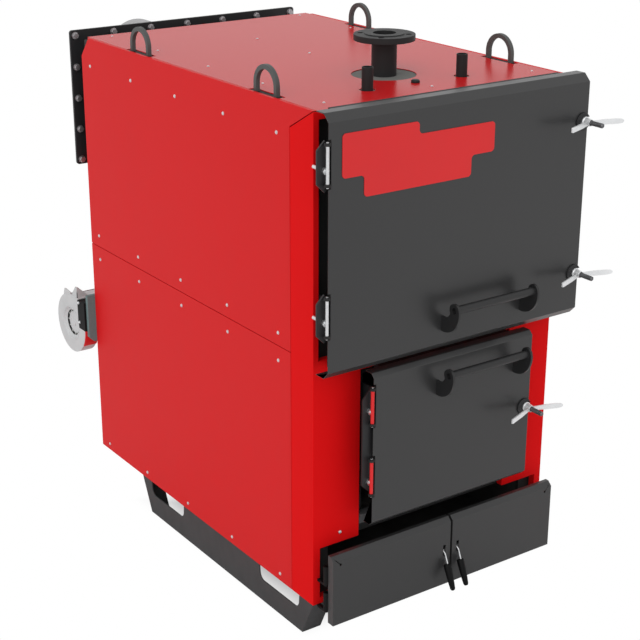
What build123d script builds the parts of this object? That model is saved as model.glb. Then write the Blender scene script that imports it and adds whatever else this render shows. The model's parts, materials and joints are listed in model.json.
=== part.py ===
from build123d import *
import os

# Solid-fuel industrial boiler, in millimetres.
# While it is modelled, X runs along the front, Y runs from the casing front to the rear,
# and heights are counted from the floor. At the end the whole is moved so that the
# origin lies at the bottom centre of its box.

# Casing
CASING_WIDTH = 920.0
CASING_DEPTH = 1386.0
CASING_HEIGHT = 1530.0
SHEET = 3.0
PANEL_THICKNESS = 12.0
PANEL_SEAM = 2.0
PANEL_SEAM_HEIGHT = 794.0
REAR_CORNER_CUT_DEPTH = 56.0
REAR_CORNER_CUT_HEIGHT = 66.0
TOP_REAR_SETBACK = 29.0
FRONT_RETURN_DEPTH = 114.0
FRONT_RETURN_MITRE = 66.0
FRONT_LIP_DEPTH = 22.0

# Skids
SKID_HEIGHT = 124.0
SKID_WIDTH = 70.0
SKID_LENGTH = 1074.0
SKID_SLANT = 58.0
SKID_SHEET = 5.0
POCKET_DEPTH = 48.0
POCKET_TOP_LENGTH = 226.0
POCKET_BOTTOM_LENGTH = 218.0
POCKET_CORNER_RADIUS = 25.0
FRONT_POCKET_CENTRE = 189.0
REAR_POCKET_CENTRE = 896.0

# Openings in the front frame
UPPER_STILE = 19.0
UPPER_OPENING_BOTTOM = 800.0
UPPER_OPENING_TOP_RAIL = 25.0
LOWER_STILE = 170.0
LOWER_OPENING_TOP = 740.0
ASH_STILE = 26.0
ASH_OPENING_BOTTOM = 20.0
ASH_OPENING_TOP = 190.0

# Boiler body
BODY_WALL = 60.0
CEILING_THICKNESS = 60.0
CROWN_THICKNESS = 60.0
CROWN_BOTTOM = 740.0
BODY_FLOOR_THICKNESS = 12.0
BODY_BACK_THICKNESS = 60.0
SURROUND_THICKNESS = 12.0
SURROUND_SIDE_GAP = 7.0
INSULATION_GAP = 14.0
SURROUND_RIM = 26.0
GRATE_TOP = 230.0
GRATE_THICKNESS = 24.0
GRATE_BAR_WIDTH = 26.0
GRATE_BAR_PITCH = 50.0
GRATE_RAIL_WIDTH = 40.0

# Doors
UPPER_DOOR_OVERLAP = 35.0
UPPER_DOOR_HEIGHT = 761.0
UPPER_DOOR_FACE = 96.0
UPPER_DOOR_FOLD = 60.0
UPPER_DOOR_CHAMFER = 23.0
LOWER_DOOR_OVERLAP = 17.0
LOWER_DOOR_HEIGHT = 493.0
LOWER_DOOR_FACE = 88.0
LOWER_DOOR_FOLD = 43.0
LOWER_DOOR_CHAMFER = 13.0
LOWER_DOOR_BOTTOM = 265.0
DOOR_GAP = 22.0
DOOR_SHEET = 3.0
DOOR_BODY_REAR = 12.0
DOOR_BODY_MARGIN = 56.0
LINING_THICKNESS = 14.0
LINING_MARGIN = 45.0

# Hinges
HINGE_OFFSET = 4.5
HINGE_SLEEVE_RADIUS = 5.0
HINGE_SLEEVE_LENGTH = 104.0
HINGE_PIN_RADIUS = 3.5
HINGE_NOTCH_DEPTH = 8.0
HINGE_PLATE_WIDTH = 50.0
HINGE_PLATE_BELOW = 79.0
HINGE_PLATE_ABOVE = 65.0
LONG_PLATE_BELOW = 51.0
LONG_PLATE_ABOVE = 48.0
HINGE_PLATE_THICKNESS = 6.0
HINGE_PLATE_BEHIND = 13.0
HINGE_STUD_RADIUS = 5.5
HINGE_STUD_DROP = 17.0
HINGE_STUD_TAIL = 46.0
LONG_PLATE_STUD_TAIL = 12.0
HINGE_NUT_WIDTH = 19.0
HINGE_NUT_THICKNESS = 8.0
HINGE_ARM_HEIGHT = 60.0
HINGE_ARM_REACH = 24.0
HINGE_LUG_THICKNESS = 8.0
HINGE_LUG_RADIUS = 9.0
HINGE_LUG_GAP = 0.3
RUNNING_CLEARANCE = 0.08
UPPER_DOOR_LOW_HINGE = 191.0
UPPER_DOOR_HIGH_HINGE = 136.0
LOWER_DOOR_LOW_HINGE = 164.0
LOWER_DOOR_HIGH_HINGE = 101.0

# Handles
HANDLE_PLATE_THICKNESS = 8.0
HANDLE_PLATE_RADIUS = 70.0
HANDLE_PLATE_CENTRE = 8.0
HANDLE_BAR_RADIUS = 12.5
HANDLE_BAR_WALL = 2.5
HANDLE_LENGTH = 314.0
HANDLE_BAR_AHEAD = 56.0
HANDLE_EYE_RADIUS = 21.0
HANDLE_THROAT_RADIUS = 30.0
HANDLE_THROAT_AHEAD = 10.0
HANDLE_THROAT_DROP = 2.0
HANDLE_BAR_INSET = 3.0
UPPER_HANDLE_CENTRE = 87.0
UPPER_HANDLE_RISE = 142.0
LOWER_HANDLE_CENTRE = 82.0
LOWER_HANDLE_DROP = 42.0

# Latches
LATCH_INSET = 16.0
KEEPER_RADIUS = 27.0
KEEPER_THICKNESS = 5.0
KEEPER_SLOT = 24.0
KEEPER_OFFSET = 6.0
STUD_RADIUS = 8.0
STUD_REAR = 34.0
STUD_AHEAD = 53.0
WING_HUB_RADIUS = 15.0
WING_HUB_LENGTH = 26.0
WING_HUB_GAP = 0.3
WING_ARM_RADIUS = 7.0
WING_ARM_LENGTH = 116.0
WING_ARM_SWEEP = 21.0
WING_ARM_AHEAD = 6.0
LATCH_LUG_THICKNESS = 10.0
LATCH_LUG_HEIGHT = 60.0
LATCH_LUG_FRONT = 27.0
UPPER_DOOR_LOW_LATCH = 142.0
UPPER_DOOR_HIGH_LATCH = 141.0
LOWER_DOOR_LATCH = 243.0

# Ash door leaves
LEAF_FACE = 77.0
LEAF_FOLD = 27.0
LEAF_SHEET = 3.0
LEAF_BOTTOM = -40.0
LEAF_TOP = 192.0
LEAF_OVERLAP = 6.0
LEAF_CHAMFER = 14.0
LEAF_SPLIT = 17.0
LEAF_GAP = 8.0
RELIEF_RADIUS = 4.0
RELIEF_INSET = 28.0
RELIEF_SLIT = 2.0
LEAF_AXIS_AHEAD = 40.0
LEAF_PIN_RADIUS = 5.0
LEAF_KNUCKLE_RADIUS = 9.0
LEAF_KNUCKLE_HEIGHT = 60.0
LEAF_KNUCKLE_MARGIN = 71.0
LEAF_BRACKET_THICKNESS = 8.0
LEAF_BRACKET_WIDTH = 12.0
LEVER_SLOT_WIDTH = 10.0
LEVER_SLOT_HEIGHT = 34.0
LEVER_SLOT_CENTRE = 84.0
LEVER_AXIS_DROP = 6.0
LEVER_INSET = 27.0
LEVER_SHANK_THICKNESS = 4.0
LEVER_SHANK_WIDTH = 10.0
LEVER_KNEE_AHEAD = 10.0
LEVER_TILT = 24.0
LEVER_SHANK_LENGTH = 34.0
LEVER_GRIP_LENGTH = 86.0
LEVER_GRIP_TOP_RADIUS = 10.5
LEVER_GRIP_END_RADIUS = 6.0
LEVER_PIN_RADIUS = 4.0
LEVER_EAR_THICKNESS = 5.0
LEVER_AXIS_BEHIND = 10.0

# Clearance between moving pieces
MOVING_CLEARANCE = 6.0

# Bare plate on the upper door, in three steps
BADGE_THICKNESS = 2.0
BADGE_RADIUS = 12.0
BADGE_LEFT = 43.0
BADGE_TOP = 57.0
BADGE_HEAD_WIDTH = 262.0
BADGE_HEAD_RISE = 36.0
BADGE_MIDDLE_WIDTH = 538.0
BADGE_MIDDLE_HEIGHT = 88.0
BADGE_FOOT_LEFT = 74.0
BADGE_FOOT_WIDTH = 380.0
BADGE_FOOT_HEIGHT = 62.0

# Water and air connections on the top
SUPPLY_PIPE_RADIUS = 38.05
PIPE_WALL = 3.6
SUPPLY_HEIGHT = 124.0
SUPPLY_BACK = 292.0
FLANGE_RADIUS = 92.5
FLANGE_THICKNESS = 18.0
FLANGE_FACE_RADIUS = 61.0
FLANGE_FACE_HEIGHT = 3.0
FLANGE_BOLT_CIRCLE_RADIUS = 72.5
FLANGE_BOLT_HOLE_RADIUS = 9.0
FLANGE_BOLT_COUNT = 4
SUPPLY_CUTOUT_RADIUS = 98.0
STUB_RADIUS = 16.85
STUB_WALL = 3.2
STUB_HEIGHT = 66.0
STUB_SPREAD = 175.0
STUB_BACK = 140.0
STUB_CUTOUT_RADIUS = 23.0
POCKET_FITTING_RADIUS = 13.0
POCKET_FITTING_HEIGHT = 9.0

# Lifting eyes
EYE_BAR_WIDTH = 14.0
EYE_FOOT = 9.0
EYE_SPAN = 118.0
EYE_HEIGHT = 82.0
EYE_INSET = 24.0
EYE_BACKS = (265.0, 1003.0)
EYE_SLOT_LENGTH = 156.0
EYE_SLOT_WIDTH = 24.0

# Flue
NECK_LENGTH = 74.0
NECK_WIDTH = 800.0
NECK_WALL = 8.0
NECK_BOTTOM = 1112.0
FLUE_FLANGE_SIDE = 63.0
FLUE_FLANGE_BELOW = 39.0
FLUE_FLANGE_ABOVE = 73.0
FLUE_FLANGE_THICKNESS = 10.0
FLUE_FLANGE_CORNER = 10.0
SMOKE_BOX_WIDTH = 640.0
SMOKE_BOX_DEPTH = 255.0
SMOKE_BOX_ABOVE = 24.0
SMOKE_BOX_INSET = 4.0
SMOKE_BOX_WALL = 5.0
FLUE_RADIUS = 125.0
FLUE_WALL = 4.0
FLUE_LENGTH = 127.0
FLUE_HEIGHT = 1357.0

# Return connection
RETURN_HEIGHT = 190.0
RETURN_ACROSS = 230.0
RETURN_LENGTH = 120.0

# Fan
DUCT_OUTSET = 30.0
DUCT_WIDTH = 160.0
DUCT_DEPTH = 15.0
DUCT_HEIGHT = 179.0
DUCT_BOTTOM = 417.0
DUCT_SHEET = 3.0
DUCT_CORNER_CUT = 20.0
ADAPTER_LENGTH = 54.0
BRACKET_THICKNESS = 4.0
BRACKET_DROP = 64.0
BRACKET_INSET = 1.0
SCROLL_RADIUS = 110.0
SCROLL_WIDTH = 52.0
SCROLL_WALL = 5.0
SCROLL_OUTSET = 38.0
SCROLL_HEIGHT = 456.0
SPOUT_REACH = 60.0
INLET_RADIUS = 62.0
IMPELLER_RADIUS = 54.0
IMPELLER_BLADES = 12
IMPELLER_BLADE_LENGTH = 24.0
IMPELLER_BLADE_THICKNESS = 3.0
IMPELLER_DISC = 3.0
IMPELLER_WIDTH = 28.0
IMPELLER_HUB_RADIUS = 16.0
SHAFT_RADIUS = 6.0
MOTOR_RADIUS = 52.0
MOTOR_LENGTH = 92.0
TERMINAL_BOX_LENGTH = 64.0
TERMINAL_BOX_DEPTH = 46.0
TERMINAL_BOX_OFFSET = 30.0
TERMINAL_BOX_LOW = 40.0
TERMINAL_BOX_HIGH = 114.0

# Derived places
half_casing = CASING_WIDTH / 2
upper_opening_half = half_casing - UPPER_STILE
lower_opening_half = half_casing - LOWER_STILE
ash_opening_half = half_casing - ASH_STILE
upper_opening_top = CASING_HEIGHT - UPPER_OPENING_TOP_RAIL
leaf_half_span = ash_opening_half + LEAF_OVERLAP
body_half = half_casing - PANEL_THICKNESS
chamber_half = body_half - BODY_WALL
body_front = SHEET + FRONT_LIP_DEPTH
wall_front = body_front + SURROUND_THICKNESS
wall_rear = CASING_DEPTH - SHEET
top_rear = CASING_DEPTH - TOP_REAR_SETBACK
body_top = CASING_HEIGHT - INSULATION_GAP
ceiling_bottom = body_top - CEILING_THICKNESS
neck_top = ceiling_bottom + NECK_WALL
neck_bottom = NECK_BOTTOM - NECK_WALL
upper_door_bottom = LOWER_DOOR_BOTTOM + LOWER_DOOR_HEIGHT + DOOR_GAP
flange_rear = CASING_DEPTH + NECK_LENGTH
smoke_box_front = flange_rear + FLUE_FLANGE_THICKNESS
smoke_box_rear = smoke_box_front + SMOKE_BOX_DEPTH
leaf_axis_y = -LEAF_AXIS_AHEAD


def above(height):
    """Height from the floor of a place given from the casing's lower edge."""
    return SKID_HEIGHT + height


def slab(x_low, x_high, y_low, y_high, z_low, z_high):
    """A block between two corners, heights counted from the casing's lower edge."""
    centre = Pos((x_low + x_high) / 2, (y_low + y_high) / 2, above((z_low + z_high) / 2))
    return centre * Box(x_high - x_low, y_high - y_low, z_high - z_low)


def across_prism(outline, x_low, x_high):
    """A closed outline of (y, height) points, carried from one x to another."""
    points = [(x_low, y, above(z)) for y, z in outline]
    return extrude(make_face(Polyline(*points, close=True)), x_high - x_low, dir=(1, 0, 0))


def along_prism(outline, y_low, y_high):
    """A closed outline of (x, height) points, carried from one y to another."""
    points = [(x, y_low, above(z)) for x, z in outline]
    return extrude(make_face(Polyline(*points, close=True)), y_high - y_low, dir=(0, 1, 0))


def upright_rod(x, y, z_low, z_high, radius):
    """A vertical round bar."""
    return Pos(x, y, above((z_low + z_high) / 2)) * Cylinder(radius, z_high - z_low)


def depth_rod(x, z, y_low, y_high, radius):
    """A round bar along Y."""
    return Pos(x, (y_low + y_high) / 2, above(z)) * Rot(90, 0, 0) * Cylinder(radius, y_high - y_low)


def cross_rod(y, z, x_low, x_high, radius):
    """A round bar along X."""
    return Pos((x_low + x_high) / 2, y, above(z)) * Rot(0, 90, 0) * Cylinder(radius, x_high - x_low)


def mirrored(solid):
    """The same piece on the other side of the middle plane."""
    return mirror(solid, about=Plane.YZ)


# Skids

def skid():
    """Left skid: web outside, foot, top flange and slanted ends, open to the inside."""
    outer = -half_casing
    inner = outer + SKID_WIDTH
    height = -SKID_HEIGHT
    outline = [(0, 0), (SKID_SLANT, height), (SKID_LENGTH - SKID_SLANT, height), (SKID_LENGTH, 0)]
    lift = SKID_SHEET
    run = SKID_SLANT * lift / SKID_HEIGHT
    across = SKID_SHEET * (1 + (SKID_SLANT / SKID_HEIGHT) ** 2) ** 0.5
    hollow = [
        (across + run, -lift),
        (across + SKID_SLANT - run, height + lift),
        (SKID_LENGTH - SKID_SLANT - across + run, height + lift),
        (SKID_LENGTH - across - run, -lift),
    ]
    body = across_prism(outline, outer, inner)
    body -= across_prism(hollow, outer + SKID_SHEET, inner + SKID_SHEET)
    for centre in (FRONT_POCKET_CENTRE, REAR_POCKET_CENTRE):
        body -= fork_pocket(centre, outer, inner)
    return body


def fork_pocket(centre, outer, inner):
    """The notch for a fork, wider at the top, through the whole skid."""
    top = POCKET_TOP_LENGTH / 2
    bottom = POCKET_BOTTOM_LENGTH / 2
    outline = [
        (centre - top, 0),
        (centre - bottom, -POCKET_DEPTH),
        (centre + bottom, -POCKET_DEPTH),
        (centre + top, 0),
    ]
    notch = across_prism(outline, outer - SKID_SHEET, inner + SKID_SHEET)
    low_edges = notch.edges().filter_by(Axis.X).group_by(Axis.Z)[0]
    return fillet(low_edges, POCKET_CORNER_RADIUS)


# Casing

def front_frame():
    """Red front sheet with its three openings, the lips behind them and the side returns."""
    holes = [
        (upper_opening_half, UPPER_OPENING_BOTTOM, upper_opening_top),
        (lower_opening_half, ASH_OPENING_TOP, LOWER_OPENING_TOP),
        (ash_opening_half, ASH_OPENING_BOTTOM, ASH_OPENING_TOP),
    ]
    sheet = slab(-half_casing, half_casing, 0, SHEET, 0, CASING_HEIGHT - SHEET)
    lips = [slab(-h - SHEET, h + SHEET, 0, body_front, low - SHEET, high + SHEET) for h, low, high in holes]
    frame = sheet + lips
    frame -= [slab(-h, h, -SHEET, body_front + SHEET, low, high) for h, low, high in holes]
    side = [
        (0, 0),
        (FRONT_RETURN_DEPTH, 0),
        (FRONT_RETURN_DEPTH, CASING_HEIGHT - FRONT_RETURN_MITRE),
        (SHEET, CASING_HEIGHT - SHEET),
        (0, CASING_HEIGHT - SHEET),
    ]
    left = across_prism(side, -half_casing, -half_casing + SHEET)
    return frame + left + mirrored(left)


def side_panel(upper):
    """Left cladding panel, a sheet with its insulation bonded behind it, mitred over the front return."""
    front = FRONT_RETURN_DEPTH + PANEL_SEAM
    rear = CASING_DEPTH
    seam_low = PANEL_SEAM_HEIGHT - PANEL_SEAM / 2
    outline = [(front, 0), (rear, 0), (rear, seam_low), (front, seam_low)]
    if upper:
        low = PANEL_SEAM_HEIGHT + PANEL_SEAM / 2
        top = CASING_HEIGHT
        outline = [
            (front, low),
            (rear, low),
            (rear, top - REAR_CORNER_CUT_HEIGHT),
            (rear - REAR_CORNER_CUT_DEPTH, top),
            (PANEL_SEAM, top),
            (front, top - FRONT_RETURN_MITRE + PANEL_SEAM),
        ]
    return across_prism(outline, -half_casing, -body_half)


def top_panel():
    """Top sheet between the side panels, with its rear lip, the pipes' cut-outs and the eyes' slots."""
    low = body_top
    plate = slab(-body_half, body_half, 0, top_rear, CASING_HEIGHT - SHEET, CASING_HEIGHT)
    plate += slab(-body_half, body_half, top_rear - SHEET, top_rear, low, CASING_HEIGHT)
    plate -= upright_rod(0, SUPPLY_BACK, low, CASING_HEIGHT + SHEET, SUPPLY_CUTOUT_RADIUS)
    for side in (-1, 1):
        plate -= upright_rod(side * STUB_SPREAD, STUB_BACK, low, CASING_HEIGHT + SHEET, STUB_CUTOUT_RADIUS)
        for back in EYE_BACKS:
            plate -= eye_slot(side, back, low, CASING_HEIGHT + SHEET)
    return plate


def eye_slot(side, back, z_low, z_high):
    """The slot that a lifting eye stands in."""
    middle = side * (half_casing - EYE_INSET)
    half_long = EYE_SLOT_LENGTH / 2
    half_wide = EYE_SLOT_WIDTH / 2
    return slab(middle - half_wide, middle + half_wide, back - half_long, back + half_long, z_low, z_high)


def insulation_blanket():
    """Pale blanket between the boiler body and the top sheet, cut for what passes through."""
    low = body_top
    high = CASING_HEIGHT - SHEET
    blanket = slab(-body_half, body_half, body_front, top_rear - SHEET, low, high)
    blanket -= upright_rod(0, SUPPLY_BACK, low - SHEET, high + SHEET, SUPPLY_PIPE_RADIUS)
    for side in (-1, 1):
        blanket -= upright_rod(side * STUB_SPREAD, STUB_BACK, low - SHEET, high + SHEET, STUB_RADIUS)
        for back in EYE_BACKS:
            blanket -= eye_slot(side, back, low - SHEET, high + SHEET)
    return blanket


def rear_panel():
    """Red rear sheet below the flue neck."""
    panel = slab(-body_half, body_half, wall_rear, CASING_DEPTH, 0, neck_bottom)
    return panel - depth_rod(RETURN_ACROSS, RETURN_HEIGHT, 0, 2 * CASING_DEPTH, SUPPLY_PIPE_RADIUS)


# Boiler body

def body_wall():
    """Left water wall."""
    return slab(-body_half, -chamber_half, wall_front, wall_rear, BODY_FLOOR_THICKNESS, body_top)


def body_ceiling():
    """Water jacket over the upper chamber."""
    return slab(-chamber_half, chamber_half, wall_front, wall_rear, ceiling_bottom, body_top)


def body_crown():
    """Water jacket between the two chambers."""
    rear = wall_rear - BODY_BACK_THICKNESS
    return slab(-chamber_half, chamber_half, wall_front, rear, CROWN_BOTTOM, CROWN_BOTTOM + CROWN_THICKNESS)


def body_back():
    """Water jacket at the rear, up to the flue neck."""
    rear = wall_rear - BODY_BACK_THICKNESS
    return slab(-chamber_half, chamber_half, rear, wall_rear, BODY_FLOOR_THICKNESS, NECK_BOTTOM)


def body_floor():
    """Steel floor of the ash chamber."""
    return slab(-body_half, body_half, wall_front, wall_rear, 0, BODY_FLOOR_THICKNESS)


def surround_slab(x_low, x_high, z_low, z_high):
    """Flat piece of the steel face that the doors close on."""
    return slab(x_low, x_high, body_front, wall_front, z_low, z_high)


def door_surround_posts():
    """Posts of the steel face that the doors close on."""
    left = surround_slab(-(body_half - SURROUND_SIDE_GAP), -chamber_half, 0, body_top)
    return [left, mirrored(left)]


def door_surround_bars():
    """Crossbars of the steel face, over, between and under the chambers' openings."""
    heights = [
        (0, ASH_OPENING_BOTTOM),
        (ASH_OPENING_TOP, GRATE_TOP + SURROUND_RIM),
        (LOWER_OPENING_TOP - SURROUND_RIM, UPPER_OPENING_BOTTOM + SURROUND_RIM),
        (ceiling_bottom, body_top),
    ]
    return [surround_slab(-chamber_half, chamber_half, low, high) for low, high in heights]


def door_surround_jambs():
    """Jambs of the steel face on both sides of the firing door."""
    low = GRATE_TOP + SURROUND_RIM
    high = LOWER_OPENING_TOP - SURROUND_RIM
    left = surround_slab(-chamber_half, -(lower_opening_half - SURROUND_RIM), low, high)
    return [left, mirrored(left)]


def grate():
    """Cast grate: bars along the depth on three rails."""
    rear = wall_rear - BODY_BACK_THICKNESS
    low = GRATE_TOP - GRATE_THICKNESS
    depth = rear - wall_front
    count = int((2 * chamber_half - GRATE_BAR_WIDTH) // GRATE_BAR_PITCH) + 1
    first = -(count - 1) * GRATE_BAR_PITCH / 2
    half = GRATE_BAR_WIDTH / 2
    middles = [first + i * GRATE_BAR_PITCH for i in range(count)]
    bars = [slab(middle - half, middle + half, wall_front, rear, low, GRATE_TOP) for middle in middles]
    rails = []
    for share in (0, 1, 2):
        start = wall_front + share * (depth - GRATE_RAIL_WIDTH) / 2
        end = start + GRATE_RAIL_WIDTH
        rails.append(slab(-chamber_half, chamber_half, start, end, low, GRATE_TOP - SHEET))
    solid = bars[0]
    for piece in bars[1:] + rails:
        solid += piece
    return solid


# Doors

class Door:
    """Sizes of one door and the places that follow from them."""

    def __init__(self, half, bottom, height, face, fold, chamfer):
        self.half = half
        self.bottom = bottom
        self.top = bottom + height
        self.face = -face
        self.fold_rear = fold - face
        self.chamfer = chamfer
        self.hinge_x = -self.half - HINGE_OFFSET
        self.latch_x = self.half - LATCH_INSET


upper_door = Door(
    upper_opening_half + UPPER_DOOR_OVERLAP,
    upper_door_bottom,
    UPPER_DOOR_HEIGHT,
    UPPER_DOOR_FACE,
    UPPER_DOOR_FOLD,
    UPPER_DOOR_CHAMFER,
)
lower_door = Door(
    lower_opening_half + LOWER_DOOR_OVERLAP,
    LOWER_DOOR_BOTTOM,
    LOWER_DOOR_HEIGHT,
    LOWER_DOOR_FACE,
    LOWER_DOOR_FOLD,
    LOWER_DOOR_CHAMFER,
)
upper_hinge_heights = (upper_door.bottom + UPPER_DOOR_LOW_HINGE, upper_door.top - UPPER_DOOR_HIGH_HINGE)
lower_hinge_heights = (lower_door.bottom + LOWER_DOOR_LOW_HINGE, lower_door.top - LOWER_DOOR_HIGH_HINGE)
upper_latch_heights = (upper_door.bottom + UPPER_DOOR_LOW_LATCH, upper_door.top - UPPER_DOOR_HIGH_LATCH)
lower_latch_height = lower_door.bottom + LOWER_DOOR_LATCH
upper_bar_height = upper_door.bottom + UPPER_HANDLE_RISE
lower_bar_height = lower_door.top - LOWER_HANDLE_DROP


def folded_outline(door, rear, inset):
    """Outline in (y, height) of a door folded back at top and bottom, moved in by inset."""
    cut = door.chamfer - inset * (2 - 2 ** 0.5)
    ahead = door.face + inset
    low = door.bottom + inset
    high = door.top - inset
    return [
        (rear, low),
        (ahead + cut, low),
        (ahead, low + cut),
        (ahead, high - cut),
        (ahead + cut, high),
        (rear, high),
    ]


def door_skin(door, hinge_heights, latch_heights):
    """Folded front sheet of a door, open at both ends, notched at the hinges and the studs."""
    outer = folded_outline(door, door.fold_rear, 0)
    inner = folded_outline(door, door.fold_rear + DOOR_SHEET, DOOR_SHEET)
    skin = across_prism(outer, -door.half, door.half)
    skin -= across_prism(inner, -door.half - SHEET, door.half + SHEET)
    reach = HINGE_SLEEVE_LENGTH / 2 + HINGE_LUG_THICKNESS + HINGE_NOTCH_DEPTH
    notch_right = -door.half + HINGE_NOTCH_DEPTH
    for height in hinge_heights:
        skin -= slab(door.hinge_x, notch_right, door.face - SHEET, 0, height - reach, height + reach)
    for height in latch_heights:
        skin -= stud_notch(door, height)
    return skin


def stud_notch(door, height):
    """Slot for a stud, open at the door's right edge."""
    x = door.latch_x
    half = KEEPER_SLOT / 2
    front = door.face - 2 * KEEPER_THICKNESS
    slot = slab(x, x + 2 * KEEPER_RADIUS, front, 0, height - half, height + half)
    return slot + depth_rod(x, height, front, 0, half)


def door_body(door, hinge_heights):
    """Steel box behind the skin that carries it, with the hinge lugs."""
    half = door.half - DOOR_BODY_MARGIN
    outline = folded_outline(door, -DOOR_BODY_REAR, DOOR_SHEET)
    body = across_prism(outline, -half, half)
    for height in hinge_heights:
        for lug in hinge_lugs(door, height):
            body += lug
    return body


def hinge_lugs(door, height):
    """Bored lugs on the door above and below a hinge sleeve, reaching from the door body."""
    axis = door.hinge_x
    root = -door.half + DOOR_BODY_MARGIN
    reach = HINGE_SLEEVE_LENGTH / 2 + HINGE_LUG_GAP
    lugs = []
    for low in (height + reach, height - reach - HINGE_LUG_THICKNESS):
        high = low + HINGE_LUG_THICKNESS
        lug = upright_rod(axis, door.face, low, high, HINGE_LUG_RADIUS)
        lug += slab(axis, root, door.face + DOOR_SHEET, door.face + HINGE_LUG_RADIUS, low, high)
        bore_radius = HINGE_PIN_RADIUS + RUNNING_CLEARANCE
        lugs.append(lug - upright_rod(axis, door.face, low - SHEET, high + SHEET, bore_radius))
    return lugs


def door_lining(door):
    """Heat-proof lining on the chamber side of a door."""
    half = door.half - DOOR_BODY_MARGIN - LINING_MARGIN
    rear = -DOOR_BODY_REAR + LINING_THICKNESS
    return slab(-half, half, -DOOR_BODY_REAR, rear, door.bottom + LINING_MARGIN, door.top - LINING_MARGIN)


def pointed_plate(door, low, high):
    """Upright plate beside a door, pointed at both ends, that holds the hinge studs."""
    axis = door.hinge_x
    half = HINGE_PLATE_WIDTH / 2
    outline = [
        (axis - half, low + half),
        (axis, low),
        (axis + half, low + half),
        (axis + half, high - half),
        (axis, high),
        (axis - half, high - half),
    ]
    front = door.face + HINGE_PLATE_BEHIND
    return along_prism(outline, front, front + HINGE_PLATE_THICKNESS)


def hinge_arm(door, height):
    """Arm from a hinge plate back to the door surround."""
    front = door.face + HINGE_PLATE_BEHIND
    rear = front + HINGE_PLATE_THICKNESS
    low = height - HINGE_ARM_HEIGHT / 2
    high = height + HINGE_ARM_HEIGHT / 2
    arm_x = door.hinge_x + HINGE_PLATE_WIDTH / 2 + HINGE_ARM_REACH
    arm = slab(door.hinge_x, arm_x, front, rear, low, high)
    return arm + slab(arm_x - HINGE_PLATE_THICKNESS, arm_x, front, body_front, low, high)


def stud_hole(door, height):
    """The hole for a hinge stud in its plate."""
    front = door.face + HINGE_PLATE_BEHIND
    rear = front + HINGE_PLATE_THICKNESS
    return depth_rod(door.hinge_x, height - HINGE_STUD_DROP, front - SHEET, rear + SHEET, HINGE_STUD_RADIUS)


def hinge_plates(door, heights, long):
    """Plates of a door's hinges with their arms, one at each hinge or one long plate for all."""
    spans = [(height - HINGE_PLATE_BELOW, height + HINGE_PLATE_ABOVE) for height in heights]
    if long:
        spans = [(min(heights) - LONG_PLATE_BELOW, max(heights) + LONG_PLATE_ABOVE)]
    plates = [pointed_plate(door, low, high) for low, high in spans]
    joined = plates[0]
    for piece in plates[1:] + [hinge_arm(door, height) for height in heights]:
        joined += piece
    for height in heights:
        joined -= stud_hole(door, height)
    return joined


def hinge_pin(door, height, tail):
    """Hinge pin in its sleeve, with the nut and the stud that hold the sleeve and the stud's tail."""
    axis = door.hinge_x
    half = HINGE_SLEEVE_LENGTH / 2
    pin_half = half + HINGE_LUG_GAP + HINGE_LUG_THICKNESS + SHEET
    pin = upright_rod(axis, door.face, height - half, height + half, HINGE_SLEEVE_RADIUS)
    pin += upright_rod(axis, door.face, height - pin_half, height + pin_half, HINGE_PIN_RADIUS)
    plate_front = door.face + HINGE_PLATE_BEHIND
    stud_end = plate_front + HINGE_PLATE_THICKNESS + tail
    stud_height = height - HINGE_STUD_DROP
    pin += depth_rod(axis, stud_height, door.face, stud_end, HINGE_STUD_RADIUS)
    nut = extrude(RegularPolygon(HINGE_NUT_WIDTH / 2, 6, major_radius=False), HINGE_NUT_THICKNESS)
    return pin + Pos(axis, plate_front, above(stud_height)) * Rot(90, 0, 0) * nut


def handle(door, centre, height):
    """Two hook plates standing on the door face, and the tube between them at the given height."""
    low = centre - HANDLE_LENGTH / 2
    high = centre + HANDLE_LENGTH / 2
    bar_y = door.face - HANDLE_BAR_AHEAD
    grip = cross_rod(bar_y, height, low + HANDLE_BAR_INSET, high - HANDLE_BAR_INSET, HANDLE_BAR_RADIUS)
    for start in (low, high - HANDLE_PLATE_THICKNESS):
        grip += handle_plate(door, height, start)
    for end in (low, high):
        bore = HANDLE_BAR_RADIUS - HANDLE_BAR_WALL
        depth = HANDLE_PLATE_THICKNESS + HANDLE_BAR_INSET
        grip -= cross_rod(bar_y, height, end - depth, end + depth, bore)
    return grip


def handle_plate(door, height, start):
    """Hook plate: a round front, an eye round the bar and a throat down to its foot."""
    end = start + HANDLE_PLATE_THICKNESS
    face = door.face
    middle_y = face - HANDLE_PLATE_CENTRE
    middle_z = height - HANDLE_PLATE_CENTRE
    bar_y = face - HANDLE_BAR_AHEAD
    throat_y = face - HANDLE_THROAT_AHEAD
    throat_z = height - HANDLE_THROAT_DROP
    reach = 2 * HANDLE_PLATE_RADIUS
    plate = cross_rod(middle_y, middle_z, start, end, HANDLE_PLATE_RADIUS)
    plate -= cross_rod(throat_y, throat_z, start - SHEET, end + SHEET, HANDLE_THROAT_RADIUS)
    plate -= slab(start - SHEET, end + SHEET, bar_y, face + reach, throat_z, height + reach)
    plate -= slab(start - SHEET, end + SHEET, bar_y - reach, bar_y, height, height + reach)
    plate += cross_rod(bar_y, height, start, end, HANDLE_EYE_RADIUS)
    return plate - slab(start - SHEET, end + SHEET, face, face + reach, height - reach, height + reach)


def keeper(door, height):
    """Slotted round plate on the door face that the wing nut presses on."""
    middle = door.latch_x - KEEPER_OFFSET
    disc = depth_rod(middle, height, door.face - KEEPER_THICKNESS, door.face, KEEPER_RADIUS)
    return disc - stud_notch(door, height)


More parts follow.
